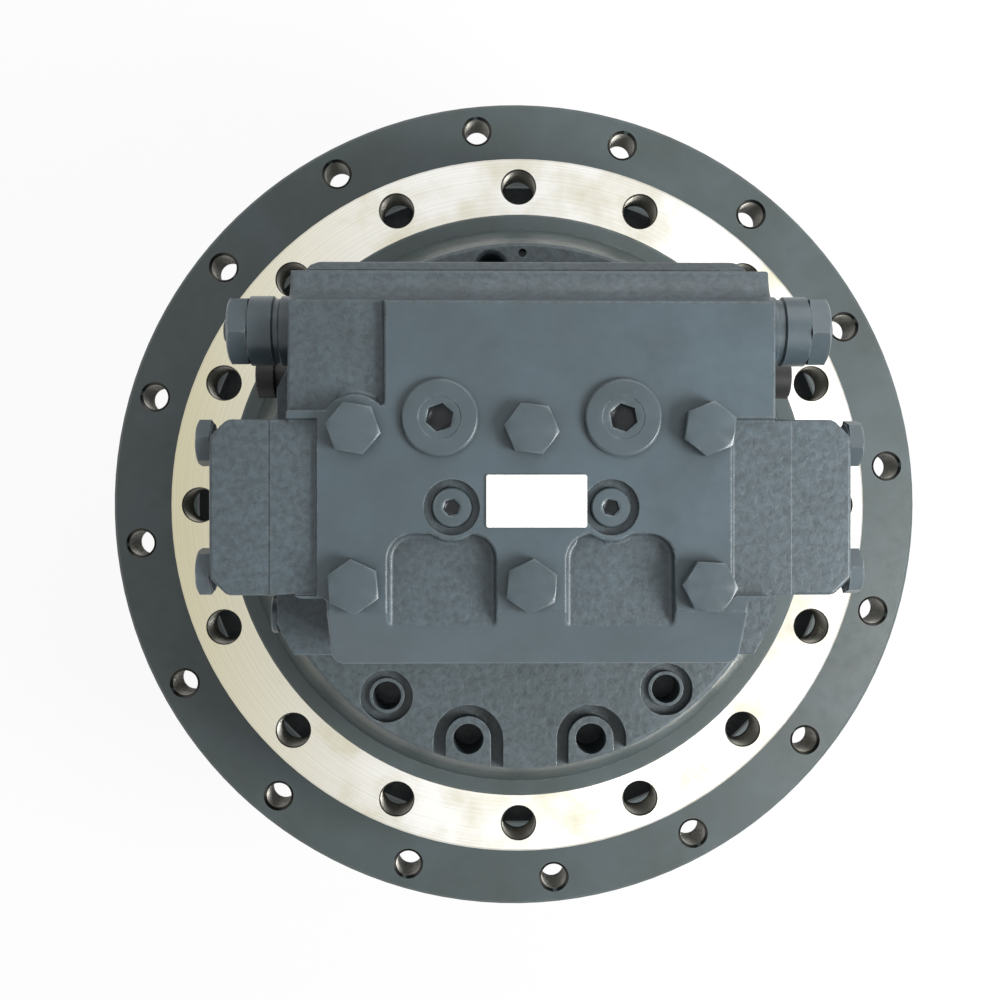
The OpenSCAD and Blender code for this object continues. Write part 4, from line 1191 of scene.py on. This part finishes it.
@dataclass
class ValveCover:
    """Valve cover with everything that is screwed into it.

    Bores in the front are given by x and y, those in the sides by y and z, the ports by x and z.
    A cap's bolts are given by how far they lie from its middle, along y and z.
    """

    shop: Paintshop
    bolt: Bore = Bore(70.0, 31.0, 6.8)
    passage: Bore = Bore(0.0, 31.0, 7.3)
    check: Bore = Bore(36.3, 35.5, 13.3)
    gauge: Bore = Bore(31.6, 0.0, 11.2)
    counterbore: float = 16.0
    spool: Bore = Bore(0.0, 147.0, 14.3)
    relief: Bore = Bore(73.5, 152.0, 11.3)
    relief_x: float = 97.0
    drain: Bore = Bore(60.0, 88.0, 8.6)
    drain_x: float = 109.66
    speed: Bore = Bore(-50.0, 90.0, 7.8)
    speed_x: float = -113.0
    port: Bore = Bore(36.3, 118.0, 15.4)
    port_floor_y: float = -37.5
    boss_x: tuple[float, float] = (79.0, 104.0)
    boss_y: float = 36.0
    recess: float = 3.0
    lower_band_y: float = -40.0
    cap_face_x: float = highest("spool_caps").x
    cap_bolt: tuple[float, float] = (26.0, 22.0)
    fillet: float = 2.0
    boss_fillet: float = 1.1
    edge: float = 1.2
    fine_edge: float = 0.5
    cap_edge: float = 1.6
    plate_edge: float = 0.3

    def _near_bore(self, spot: Vector) -> bool:
        """Tells the rims of the bores in the visible faces.

        Args:
            spot: a place in millimetres.

        Returns:
            True near a rim.
        """
        x, y, z = abs(spot.x), spot.y, spot.z
        in_front = self.check.holds(x, y) or any(
            bore.holds(x, abs(y)) for bore in (self.gauge, self.bolt, self.passage))
        return (
            (in_front and z > COVER_Z - self.counterbore)
            or self.port.holds(x, z)
            or any(bore.holds(y, z) for bore in (self.spool, self.relief, self.drain, self.speed))
        )

    def _plain(self, spot: Vector) -> bool:
        """True off the joint with the case and away from the bores and the spool caps."""
        return (spot.z > FRONT_Z + 1 and not self._near_bore(spot)
                and abs(spot.x) < self.boss_x[1] - 0.5)

    def _on_boss(self, spot: Vector) -> bool:
        """True around the tops of the two spool bosses."""
        return (spot.z > COVER_Z - self.recess and abs(spot.x) > self.boss_x[0]
                and abs(spot.y) < self.boss_y)

    def casting(self) -> None:
        """The cover casting: filleted, rounded, milled in front and rough elsewhere."""
        cast = Casting(self.shop, "rear_cover", "valve_cover_casting", "cover_cast")
        piece = cast.raw()
        cast.radius(piece, self.boss_fillet, lambda p, n: self._on_boss(p), convex=False)
        cast.radius(piece, self.fillet, lambda p, n: self._plain(p) and not self._on_boss(p),
                    convex=False)
        cast.radius(piece, self.edge, lambda p, n: self._plain(p))
        cast.radius(piece, self.fine_edge, lambda p, n: p.z > FRONT_Z + 1, segments=2)
        self.shop.paint_where(piece, "cover_face", lambda p, n: p.z > COVER_Z - 0.05 and n.z > 0.9)
        self.shop.paint_where(piece, "cover_face", lambda p, n: p.y < self.lower_band_y
                              and n.y < -0.3 and n.z > 0.3)
        self.shop.paint_where(piece, "bore_steel", lambda p, n: p.y < self.port_floor_y
                              and self.port.holds(abs(p.x), p.z, 0.4))
        fit(piece, HOUSING, "cover_paint", "rear_cover")

    def caps(self) -> None:
        """The two caps over the counterbalance spool, with their bolts."""
        cast = Casting(self.shop, "spool_caps", "spool_end_caps", "cover_cast")
        piece = cast.raw()
        y, dz = self.cap_bolt
        hole = Bore(y, dz, 6.0)
        cast.radius(piece, self.cap_edge, lambda p, n: abs(p.x) > self.boss_x[1] + 0.5
                    and not hole.holds(abs(p.y), abs(p.z - self.spool.up)))
        self.shop.paint_where(piece, "cover_face", lambda p, n: abs(n.x) > 0.95)
        fit(piece, HOUSING, "cover_paint", "spool_caps")
        places = [at(side * self.cap_face_x, sy * y, self.spool.up + sz * dz, OUTWARDS[side], 12 * sy)
                  for side in SIDES for sy in SIDES for sz in SIDES]
        bolts = Screws(self.shop, across_flats=17, head=6.4, shank=5, length=44, thread=22, pitch=1.5)
        fit(bolts.build("spool_cap_bolts", places), HOUSING, "bolt_paint", "cap_bolts")

    def bolts(self) -> None:
        """The four long bolts that hold the cover to the case."""
        turns = {(-1, 1): 20, (1, 1): -8, (-1, -1): 5, (1, -1): 27}
        places = [at(sx * self.bolt.across, sy * self.bolt.up, COVER_Z, turn=turns[sx, sy])
                  for sx in SIDES for sy in SIDES]
        bolts = Screws(self.shop, across_flats=19, head=7.5, shank=6, length=139, thread=34)
        fit(bolts.build("cover_hex_bolts", places), HOUSING, "bolt_paint", "cover_bolts")

    def plugs(self) -> None:
        """Passage and gauge plugs, and the large plugs over the check valves."""
        hexes = Screws(self.shop, across_flats=19, head=6, shank=7, length=14, thread=10, pitch=1.5)
        places = [at(0, side * self.passage.up, COVER_Z, turn=14 * side + 9) for side in SIDES]
        fit(hexes.build("hex_passage_plugs", places), HOUSING, "bolt_paint", "passage_plugs")
        gauge = turn_outline("gauge", [
            (0, -11), (7.4, -11), (7.9, -10.4), (7.9, -0.9), (7.3, -0.3), (4.4, -0.1), (0, -0.1),
        ])
        combine(gauge, hex_socket("key", 6, -0.1, 5), "DIFFERENCE")
        places = pair(self.gauge.across, self.gauge.up, COVER_Z - 1, 17, upright=True)
        self._screw_in(gauge, places, "sunk_gauge_plugs", "passage_plugs")
        big = turn_outline("check_plug", [
            (0, -13), (7, -13), (7, -17), (12, -17), (13, -16), (13, -0.6), (12.6, 0.02),
            (15.2, 0.02), (15.5, 0.35), (15.5, 1.5), (14.9, 2.3), (14.2, 2.6), (8.6, 2.6), (8.3, 2.3),
            (0, 2.3),
        ], 96)
        combine(big, hex_socket("key", 10, 2.3, 9), "DIFFERENCE")
        places = pair(self.check.across, self.check.up, COVER_Z, 11, upright=True)
        self._screw_in(big, places, "check_valve_socket_plugs", "check_valve_plugs")

    def _screw_in(self, plug: bpy.types.Object, places: Sequence[Matrix], name: str,
                  node: str) -> None:
        """Copies an enamelled plug to its places.

        Args:
            plug: the plug, upright, its seat at the origin.
            places: where the copies go.
            name: the name of the whole.
            node: the CAD node that they stand for.
        """
        piece = self.shop.paint(copies(plug, places, name), "bolt_enamel")
        fit(piece, HOUSING, "bolt_paint", node)

    def relief_valves(self) -> None:
        """The two relief cartridges: turned body, hexagon, lock nut and adjusting screw."""
        body = turn_outline("body", [
            (0, -43), (10.6, -43), (11, -42.4), (11, 0.02), (14, 0.02), (14.5, 0.5), (14.5, 5.6),
            (13.4, 6.4), (13.4, 8.2), (14.5, 9), (14.5, 18.5), (13.9, 19.1), (0, 19.1),
        ])
        stem = turn_outline("stem", [(0, -49), (5.4, -49), (6, -48.4), (6, -42.5), (0, -42.5)], 40)
        screw = turn_outline("tip", [(0, 27), (4.2, 27), (4.6, 27.4), (4.6, 29.4), (4.1, 29.9),
                                     (0, 29.9)], 40)
        combine(screw, hex_socket("key", 4, 29.9, 2.4), "DIFFERENCE")
        cartridge = join([body, hexagon("hex", 27, 19.0, 27.45), stem, screw], "cartridge")
        places = pair(self.relief_x, self.relief.across, self.relief.up, 8)
        self._screw_in(cartridge, places, "relief_valve_cartridges", "relief_valves")

    def drain_plugs(self) -> None:
        """Ribbed plastic plugs pressed into the drain ports."""
        plug = turn_outline("plug", [
            (0, -15), (6.6, -15), (8, -13.6), (8, -8), (7.7, -7.6), (7.7, -4), (8, -3.6), (8, 2.4),
            (7.2, 2.6), (7.2, 4.8), (9.6, 5.0), (10, 5.5), (10, 12.6), (9.2, 13.45), (6.4, 13.45),
            (5.8, 12.7), (5.8, 8), (0, 8),
        ])
        ribs = copies(rod("rib", 0.7, 5.2, 13.0, 12), circle(24, 9.75, 0, 0), "ribs")
        combine(ribs, rod("limit", 10.0, 5.0, 13.4, 96), "INTERSECT")
        places = pair(self.drain_x, self.drain.across, self.drain.up)
        piece = copies(join([plug, ribs], "plug"), places, "plastic_drain_plugs")
        fit(self.shop.paint(piece, "plastic"), HOUSING, "plug_plastic", "port_plugs")

    def speed_plug(self) -> None:
        """Socket plug of the two-speed bore."""
        plug = turn_outline("plug", [
            (0, -11.4), (6.3, -11.4), (6.95, -10.8), (6.95, 0.02), (8.3, 0.02), (8.6, 0.3),
            (8.6, 2.4), (8, 3), (0, 3),
        ])
        combine(plug, hex_socket("key", 6, 3, 6), "DIFFERENCE")
        places = [at(self.speed_x, self.speed.across, self.speed.up, OUTWARDS[-1], 10)]
        self._screw_in(plug, places, "two_speed_bore_plug", "spool_plug")

    def name_plate(self) -> None:
        """The bare plate, its edges rolled over."""
        plate = Casting(self.shop, "nameplate", "bare_name_plate", "plate")
        piece = plate.raw()
        plate.radius(piece, self.plate_edge, lambda p, n: p.z > COVER_Z + 0.5, segments=2)
        fit(piece, HOUSING, "plate", "nameplate")

    def build(self) -> None:
        """Builds the whole cover."""
        self.casting()
        self.caps()
        self.bolts()
        self.plugs()
        self.relief_valves()
        self.drain_plugs()
        self.speed_plug()
        self.name_plate()


@dataclass
class SpindleCase:
    """The casting that bolts to the track frame, with its bright face and tapped holes."""

    shop: Paintshop
    pilot_r: float = 152.0
    pilot_wall: float = 7.5
    flange_r: float = highest("motor_case").x
    flange_t: float = 28.0
    cone_r: float = 124.6
    bore_r: float = 69.0
    bolt_circle_r: float = 168.0
    bolt_count: int = 16
    case_drain: Bore = Bore(0.0, 121.0, 3.0)
    edge: float = 0.5

    def _on_ring(self, spot: Vector, normal: Vector) -> bool:
        """Tells the turned face that meets the track frame, and the wall of its pilot.

        Args:
            spot: a face's corner in millimetres.
            normal: the face's normal.

        Returns:
            True on either.
        """
        radius = math.hypot(spot.x, spot.y)
        face = (normal.z > 0.5 and -2 < spot.z < 0.1
                and self.pilot_r - 0.5 < radius < self.flange_r + 0.5)
        wall = (abs(normal.z) < 0.3 and -0.1 < spot.z < self.pilot_wall
                and abs(radius - self.pilot_r) < 0.5)
        return face or wall

    def _turned_outside(self, spot: Vector, normal: Vector) -> bool:
        """Tells the flange's rim and the cone up to the cover.

        Args:
            spot: a face's corner in millimetres.
            normal: the face's normal.

        Returns:
            True on either.
        """
        radius = math.hypot(spot.x, spot.y)
        rim = (-self.flange_t < spot.z < 0 and abs(normal.z) < 0.2
               and radius > self.flange_r - 2.5)
        return rim or (6 < spot.z < FRONT_Z - 0.5 and radius > self.cone_r)

    def _in_bore(self, spot: Vector, normal: Vector) -> bool:
        """Tells the inside of the case, the bearing seats and the tapped holes.

        Args:
            spot: a face's corner in millimetres.
            normal: the face's normal.

        Returns:
            True in any of them.
        """
        radius = math.hypot(spot.x, spot.y)
        below = spot.z < 0.1 - self.flange_t
        in_hole = (spot.z < 0.1 and abs(radius - self.bolt_circle_r) < 10.5
                   and abs(normal.z) < 0.95)
        inside = radius < self.bore_r and (spot.z < FRONT_Z - 1 or abs(normal.z) < 0.5)
        return below or in_hole or inside

    def build(self) -> None:
        """Builds the case and its threads."""
        cast = Casting(self.shop, "motor_case", "spindle_case_casting", "case_cast")
        piece = cast.raw()
        holes = ThreadedHole(core=8.7, major=10.0, pitch=2.5, depth=27.0,
                             places=circle(self.bolt_count, self.bolt_circle_r, 90, 0))
        holes.cut(piece)
        cast.radius(piece, self.edge, lambda p, n: p.z > FRONT_Z - 9.5
                    and math.hypot(p.x, p.y) > self.bore_r + 2
                    and not self.case_drain.holds(p.x, p.y), segments=2)
        self.shop.paint_where(piece, "turned_ring", self._on_ring)
        self.shop.paint_where(piece, "flange", self._turned_outside)
        self.shop.paint_where(piece, "bore_steel", self._in_bore)
        fit(piece, HOUSING, "case_paint", "motor_case")
        fit(holes.rings("frame_hole_threads", self.shop), HOUSING, "machined_steel")


@dataclass
class HubDrum:
    """The rotating hub with its sprocket flange and the cover of the gearbox end."""

    shop: Paintshop
    flange_z: float = -65.0
    flange_t: float = 30.0
    neck_r: float = 153.1
    bolt_circle_r: float = 215.5
    bolt_count: int = 16
    bolt_turn: float = 5.9
    end_z: float = -276.0
    foot_fillet: float = 2.0
    cover_bolt_r: float = 166.0
    cover_bolt_count: int = 16
    oil_plug_r: float = 145.0

    def _turned_outside(self, spot: Vector, normal: Vector) -> bool:
        """True on the machined outside of the flange, its pilot and the neck."""
        pilot_z = self.flange_z - self.flange_t - 14.2
        return spot.z > pilot_z and math.hypot(spot.x, spot.y) > self.neck_r

    def _inside(self, spot: Vector, normal: Vector) -> bool:
        """Tells the bores, the tapped holes and the gaps of the internal teeth.

        Args:
            spot: a face's corner in millimetres.
            normal: the face's normal.

        Returns:
            True in any of them.
        """
        radius = math.hypot(spot.x, spot.y)
        low, high = self.flange_z - self.flange_t - 0.1, self.flange_z + 0.1
        in_hole = abs(radius - self.bolt_circle_r) < 8.6 and low < spot.z < high
        return (in_hole and abs(normal.z) < 0.95) or (radius < self.neck_r + 0.1 and spot.z < -32.1)

    def drum(self) -> None:
        """The hub and the threads in its sprocket flange."""
        piece = Casting(self.shop, "hub", "hub_drum_casting", "case_cast").raw()
        places = circle(self.bolt_count, self.bolt_circle_r, 90 + self.bolt_turn, self.flange_z)
        holes = ThreadedHole(core=7.0, major=8.0, pitch=2.0, depth=28.6, places=places, mouth=1.4,
                             lead=1.7)
        holes.cut(piece)
        self.shop.paint_where(piece, "flange", self._turned_outside)
        self.shop.paint_where(piece, "bore_steel", self._inside)
        fit(piece, HUB, "case_paint", "hub")
        fit(holes.rings("sprocket_hole_threads", self.shop), HUB, "machined_steel")

    def end_cover(self) -> None:
        """The end cover with the foot that the motor stands on, and its bolts."""
        cast = Casting(self.shop, "end_cover", "gearbox_end_cover", "case_cast")
        piece = cast.raw()
        cast.radius(piece, self.foot_fillet, lambda p, n: p.z < self.end_z + 6, convex=False,
                    least=60)
        self.shop.paint_where(piece, "flange", lambda p, n: n.z < -0.95 and p.z < FLOOR_Z + 1)
        fit(piece, HUB, "case_paint", "end_cover")
        bolts = Screws(self.shop, across_flats=19, head=7.5, shank=6, length=36, thread=24)
        places = circle(self.cover_bolt_count, self.cover_bolt_r, 11.25, self.end_z, "-Z")
        fit(bolts.build("end_cover_hex_bolts", places), HUB, "dark_steel", "end_cover_bolts")

    def oil_plugs(self) -> None:
        """The level and drain plugs with their copper washers."""
        plug = turn_outline("oil_plug", [
            (0, -12), (8.4, -12), (9, -11.4), (9, 0.9), (12.1, 0.9), (12.5, 1.3), (12.5, 3.3),
            (11.8, 3.98), (0, 3.98),
        ])
        combine(plug, hex_socket("key", 10, 3.98, 8), "DIFFERENCE")
        places = circle(2, self.oil_plug_r, 0, self.end_z, "-Z")
        washer = turn_outline("washer", [(9.05, 0.01), (12.3, 0.01), (12.5, 0.2), (12.5, 0.7),
                                         (12.3, 0.88), (9.05, 0.88)], 64, ring=True)
        washers = self.shop.paint(copies(washer, places, "oil_plug_washers"), "copper")
        plugs = self.shop.paint(copies(plug, places, "gearbox_oil_plugs"), "dark_steel")
        fit(plugs, HUB, "dark_steel", "oil_plugs")
        fit(washers, HUB, "bronze", "oil_plugs")

    def build(self) -> None:
        """Builds the hub, the end cover and their screws."""
        self.drum()
        self.end_cover()
        self.oil_plugs()


@dataclass
class Springs:
    """The springs, wound from round wire where the CAD has closed coils.

    A seat is where a spring stands. The two levels of its travel are handed on but not used.
    """

    shop: Paintshop
    block: Coil = Coil(mean=19, wire=3.9, length=19.8, turns=2, steps=48)
    brake: Coil = Coil(mean=3.3, wire=1.55, length=25.8, turns=9, steps=20)
    centring: Coil = Coil(mean=9.5, wire=2.9, length=40.6, turns=7, steps=32)
    speed: Coil = Coil(mean=4.7, wire=1.5, length=24.6, turns=8, steps=20)
    block_seat_z: float = 38.1
    brake_seat_z: float = 52.1
    brake_travel: tuple[float, float] = (54.0, 76.0)
    brake_circle_r: float = 58.0
    spool_z: float = 147.0
    centring_seat_x: float = 80.2
    centring_travel: tuple[float, float] = (83.5, 117.5)
    speed_y: float = -50.0
    speed_z: float = 90.0
    speed_seat_x: float = -44.8
    speed_travel: tuple[float, float] = (-43.0, -22.0)

    def build(self) -> None:
        """Builds every spring."""
        block = settle(self.block.wind("block_spring"), at(0, 0, self.block_seat_z))
        fit(self.shop.paint(block, "spring_steel"), "rotating_group", "dark_steel", "barrel_spring")
        brake = copies(self.brake.wind("brake_spring"),
                       circle(8, self.brake_circle_r, 22.5, self.brake_seat_z), "brake_coil_springs")
        self._between(brake, "brake_springs", "brake", *((0, 0, z) for z in self.brake_travel))
        for side, hand in zip(SIDES, ("left", "right")):
            centring = settle(self.centring.wind(f"centring_spring_{hand}"),
                              at(side * self.centring_seat_x, 0, self.spool_z, OUTWARDS[side]))
            self._between(centring, "counterbalance_springs", "counterbalance",
                          *((side * x, 0, self.spool_z) for x in self.centring_travel))
        speed = settle(self.speed.wind("two_speed_return_spring"),
                       at(self.speed_seat_x, self.speed_y, self.speed_z, "+X"))
        self._between(speed, "two_speed_spring", "two_speed",
                      *((x, self.speed_y, self.speed_z) for x in self.speed_travel))

    def _between(self, piece: bpy.types.Object, node: str, body: str, moving: Spot,
                 fixed: Spot) -> None:
        """Paints and smooths a spring, puts its place into its mesh, and hides the CAD node that it
        stands for.

        Args:
            piece: the spring.
            node: the CAD node that it stands for.
            body: the sliding body.
            moving: where the end coils on that body stop, in millimetres; not used.
            fixed: where the end coils on the housing start; not used.
        """
        smooth(self.shop.paint(piece, "spring_steel"))
        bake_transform(piece)
        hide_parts(node)
        log.info("%s: bends between %s and %s", piece.name, body, HOUSING)


@dataclass
class InnerParts:
    """The CAD nodes that are right as they are, each in its own metal or rubber."""

    shop: Paintshop

    def build(self) -> None:
        """Gives each node that nothing replaces the finish that its slot is named for."""
        slots = {part["node"]: part["material_slot"] for part in frame["record"]["subparts"]}
        for name, node in frame["nodes"].items():
            if not node.hide_render:
                finish = "friction" if name == "friction_discs" else slots[name]
                self.shop.paint(node, finish)
                log.info("%s: CAD shape in %s", name, finish)


@dataclass
class Studio:
    """Camera, floor and soft light. Places are in millimetres.

    The camera's distances in pixels are in the photograph's frame of 1000 by 1000, and the aim is
    how far the frame's centre lies from the point right below the camera.
    """

    eye: Spot = (-20.5, 3.8, 735.0)
    focal_px: float = 1391.0
    aim_px: tuple[float, float] = (20.3, -2.2)
    frame_px: float = 1000.0
    sensor_mm: float = 36.0
    floor_glow: float = 0.92
    sky: float = 0.37
    white: str = "#ffffff"

    def camera(self) -> None:
        """The camera, straight above the motor as in the photo."""
        data = bpy.data.cameras.new("camera")
        data.sensor_width = self.sensor_mm
        data.lens = self.focal_px * self.sensor_mm / self.frame_px
        data.clip_start, data.clip_end = 0.01, 20.0
        camera = bpy.data.objects.new("camera", data)
        camera.location = [mm(value) for value in self.eye]
        back = -Vector((self.aim_px[0] / self.focal_px, self.aim_px[1] / self.focal_px, -1.0))
        right = Vector((0, 1, 0)).cross(back).normalized()
        up = back.cross(right).normalized()
        camera.rotation_euler = Matrix((right, up, back.normalized())).transposed().to_euler()
        bpy.context.scene.collection.objects.link(camera)
        bpy.context.scene.camera = camera

    def floor(self) -> None:
        """A plain pale floor that keeps the motor's shadow."""
        deselect()
        bpy.ops.mesh.primitive_plane_add(size=12.0, location=(0, 0, mm(FLOOR_Z)))
        piece = bpy.context.view_layer.objects.active
        piece.name = "floor"
        material = bpy.data.materials.new("white_studio_floor")
        tree = empty_tree(material)
        paper = add_node(tree, "BsdfDiffuse", {"Color": linear("#f6f6f6")})
        glow = add_node(tree, "Emission", {"Color": linear(self.white), "Strength": 1.0})
        share = add_node(tree, "Math", {0: self._seen_rays(tree), 1: self.floor_glow},
                         operation="MULTIPLY")
        mix = add_node(tree, "MixShader", {0: share, 1: paper, 2: glow})
        add_node(tree, "OutputMaterial", {"Surface": mix})
        piece.data.materials.append(material)

    @staticmethod
    def _seen_rays(tree: bpy.types.NodeTree) -> bpy.types.Node:
        """Tells the rays that come from the camera, a reflection or a refraction.

        Args:
            tree: the node tree of a material or the world.

        Returns:
            The node, 1 for such rays and 0 for others.
        """
        path = add_node(tree, "LightPath").outputs
        either = add_node(tree, "Math", {0: path["Is Camera Ray"], 1: path["Is Glossy Ray"]},
                          operation="MAXIMUM")
        return add_node(tree, "Math", {0: either, 1: path["Is Transmission Ray"]},
                        operation="MAXIMUM")

    def light(self) -> None:
        """A white world, the photo's large soft lamp at the lower right, and a weaker one above."""
        world = bpy.data.worlds.new("white_studio")
        bpy.context.scene.world = world
        tree = empty_tree(world)
        dim, bright = (add_node(tree, "Background", {"Color": linear(self.white), "Strength": strength})
                       for strength in (self.sky, 1.0))
        mix = add_node(tree, "MixShader", {0: self._seen_rays(tree), 1: dim, 2: bright})
        add_node(tree, "OutputWorld", {"Surface": mix})
        self._lamp("key_lamp", (820, -300, 800), size=0.5, watts=17.0)
        self._lamp("fill_lamp", (450, 1150, 800), size=1.2, watts=9.0)

    @staticmethod
    def _lamp(name: str, place: Spot, size: float, watts: float) -> None:
        """Adds a square lamp that faces the motor.

        Args:
            name: the lamp's name.
            place: in millimetres.
            size: side in metres.
            watts: its power.
        """
        data = bpy.data.lights.new(name, "AREA")
        data.size, data.energy = size, watts
        lamp = bpy.data.objects.new(name, data)
        lamp.location = [mm(value) for value in place]
        lamp.rotation_euler = (-Vector(lamp.location)).to_track_quat("-Z", "Y").to_euler()
        bpy.context.scene.collection.objects.link(lamp)

    def build(self) -> None:
        """Sets the whole studio up."""
        self.camera()
        self.floor()
        self.light()
        bpy.context.scene.view_settings.view_transform = "Standard"


def main() -> None:
    """Builds every sub-assembly and the studio around them."""
    logging.basicConfig(level=logging.INFO, format="%(name)s: %(message)s")
    Studio().build()
    shop = Paintshop()
    for assembly in (ValveCover(shop), SpindleCase(shop), HubDrum(shop), Springs(shop),
                     InnerParts(shop)):
        assembly.build()
        log.info("%s is done", type(assembly).__name__)


if __name__ == "__main__":
    main()
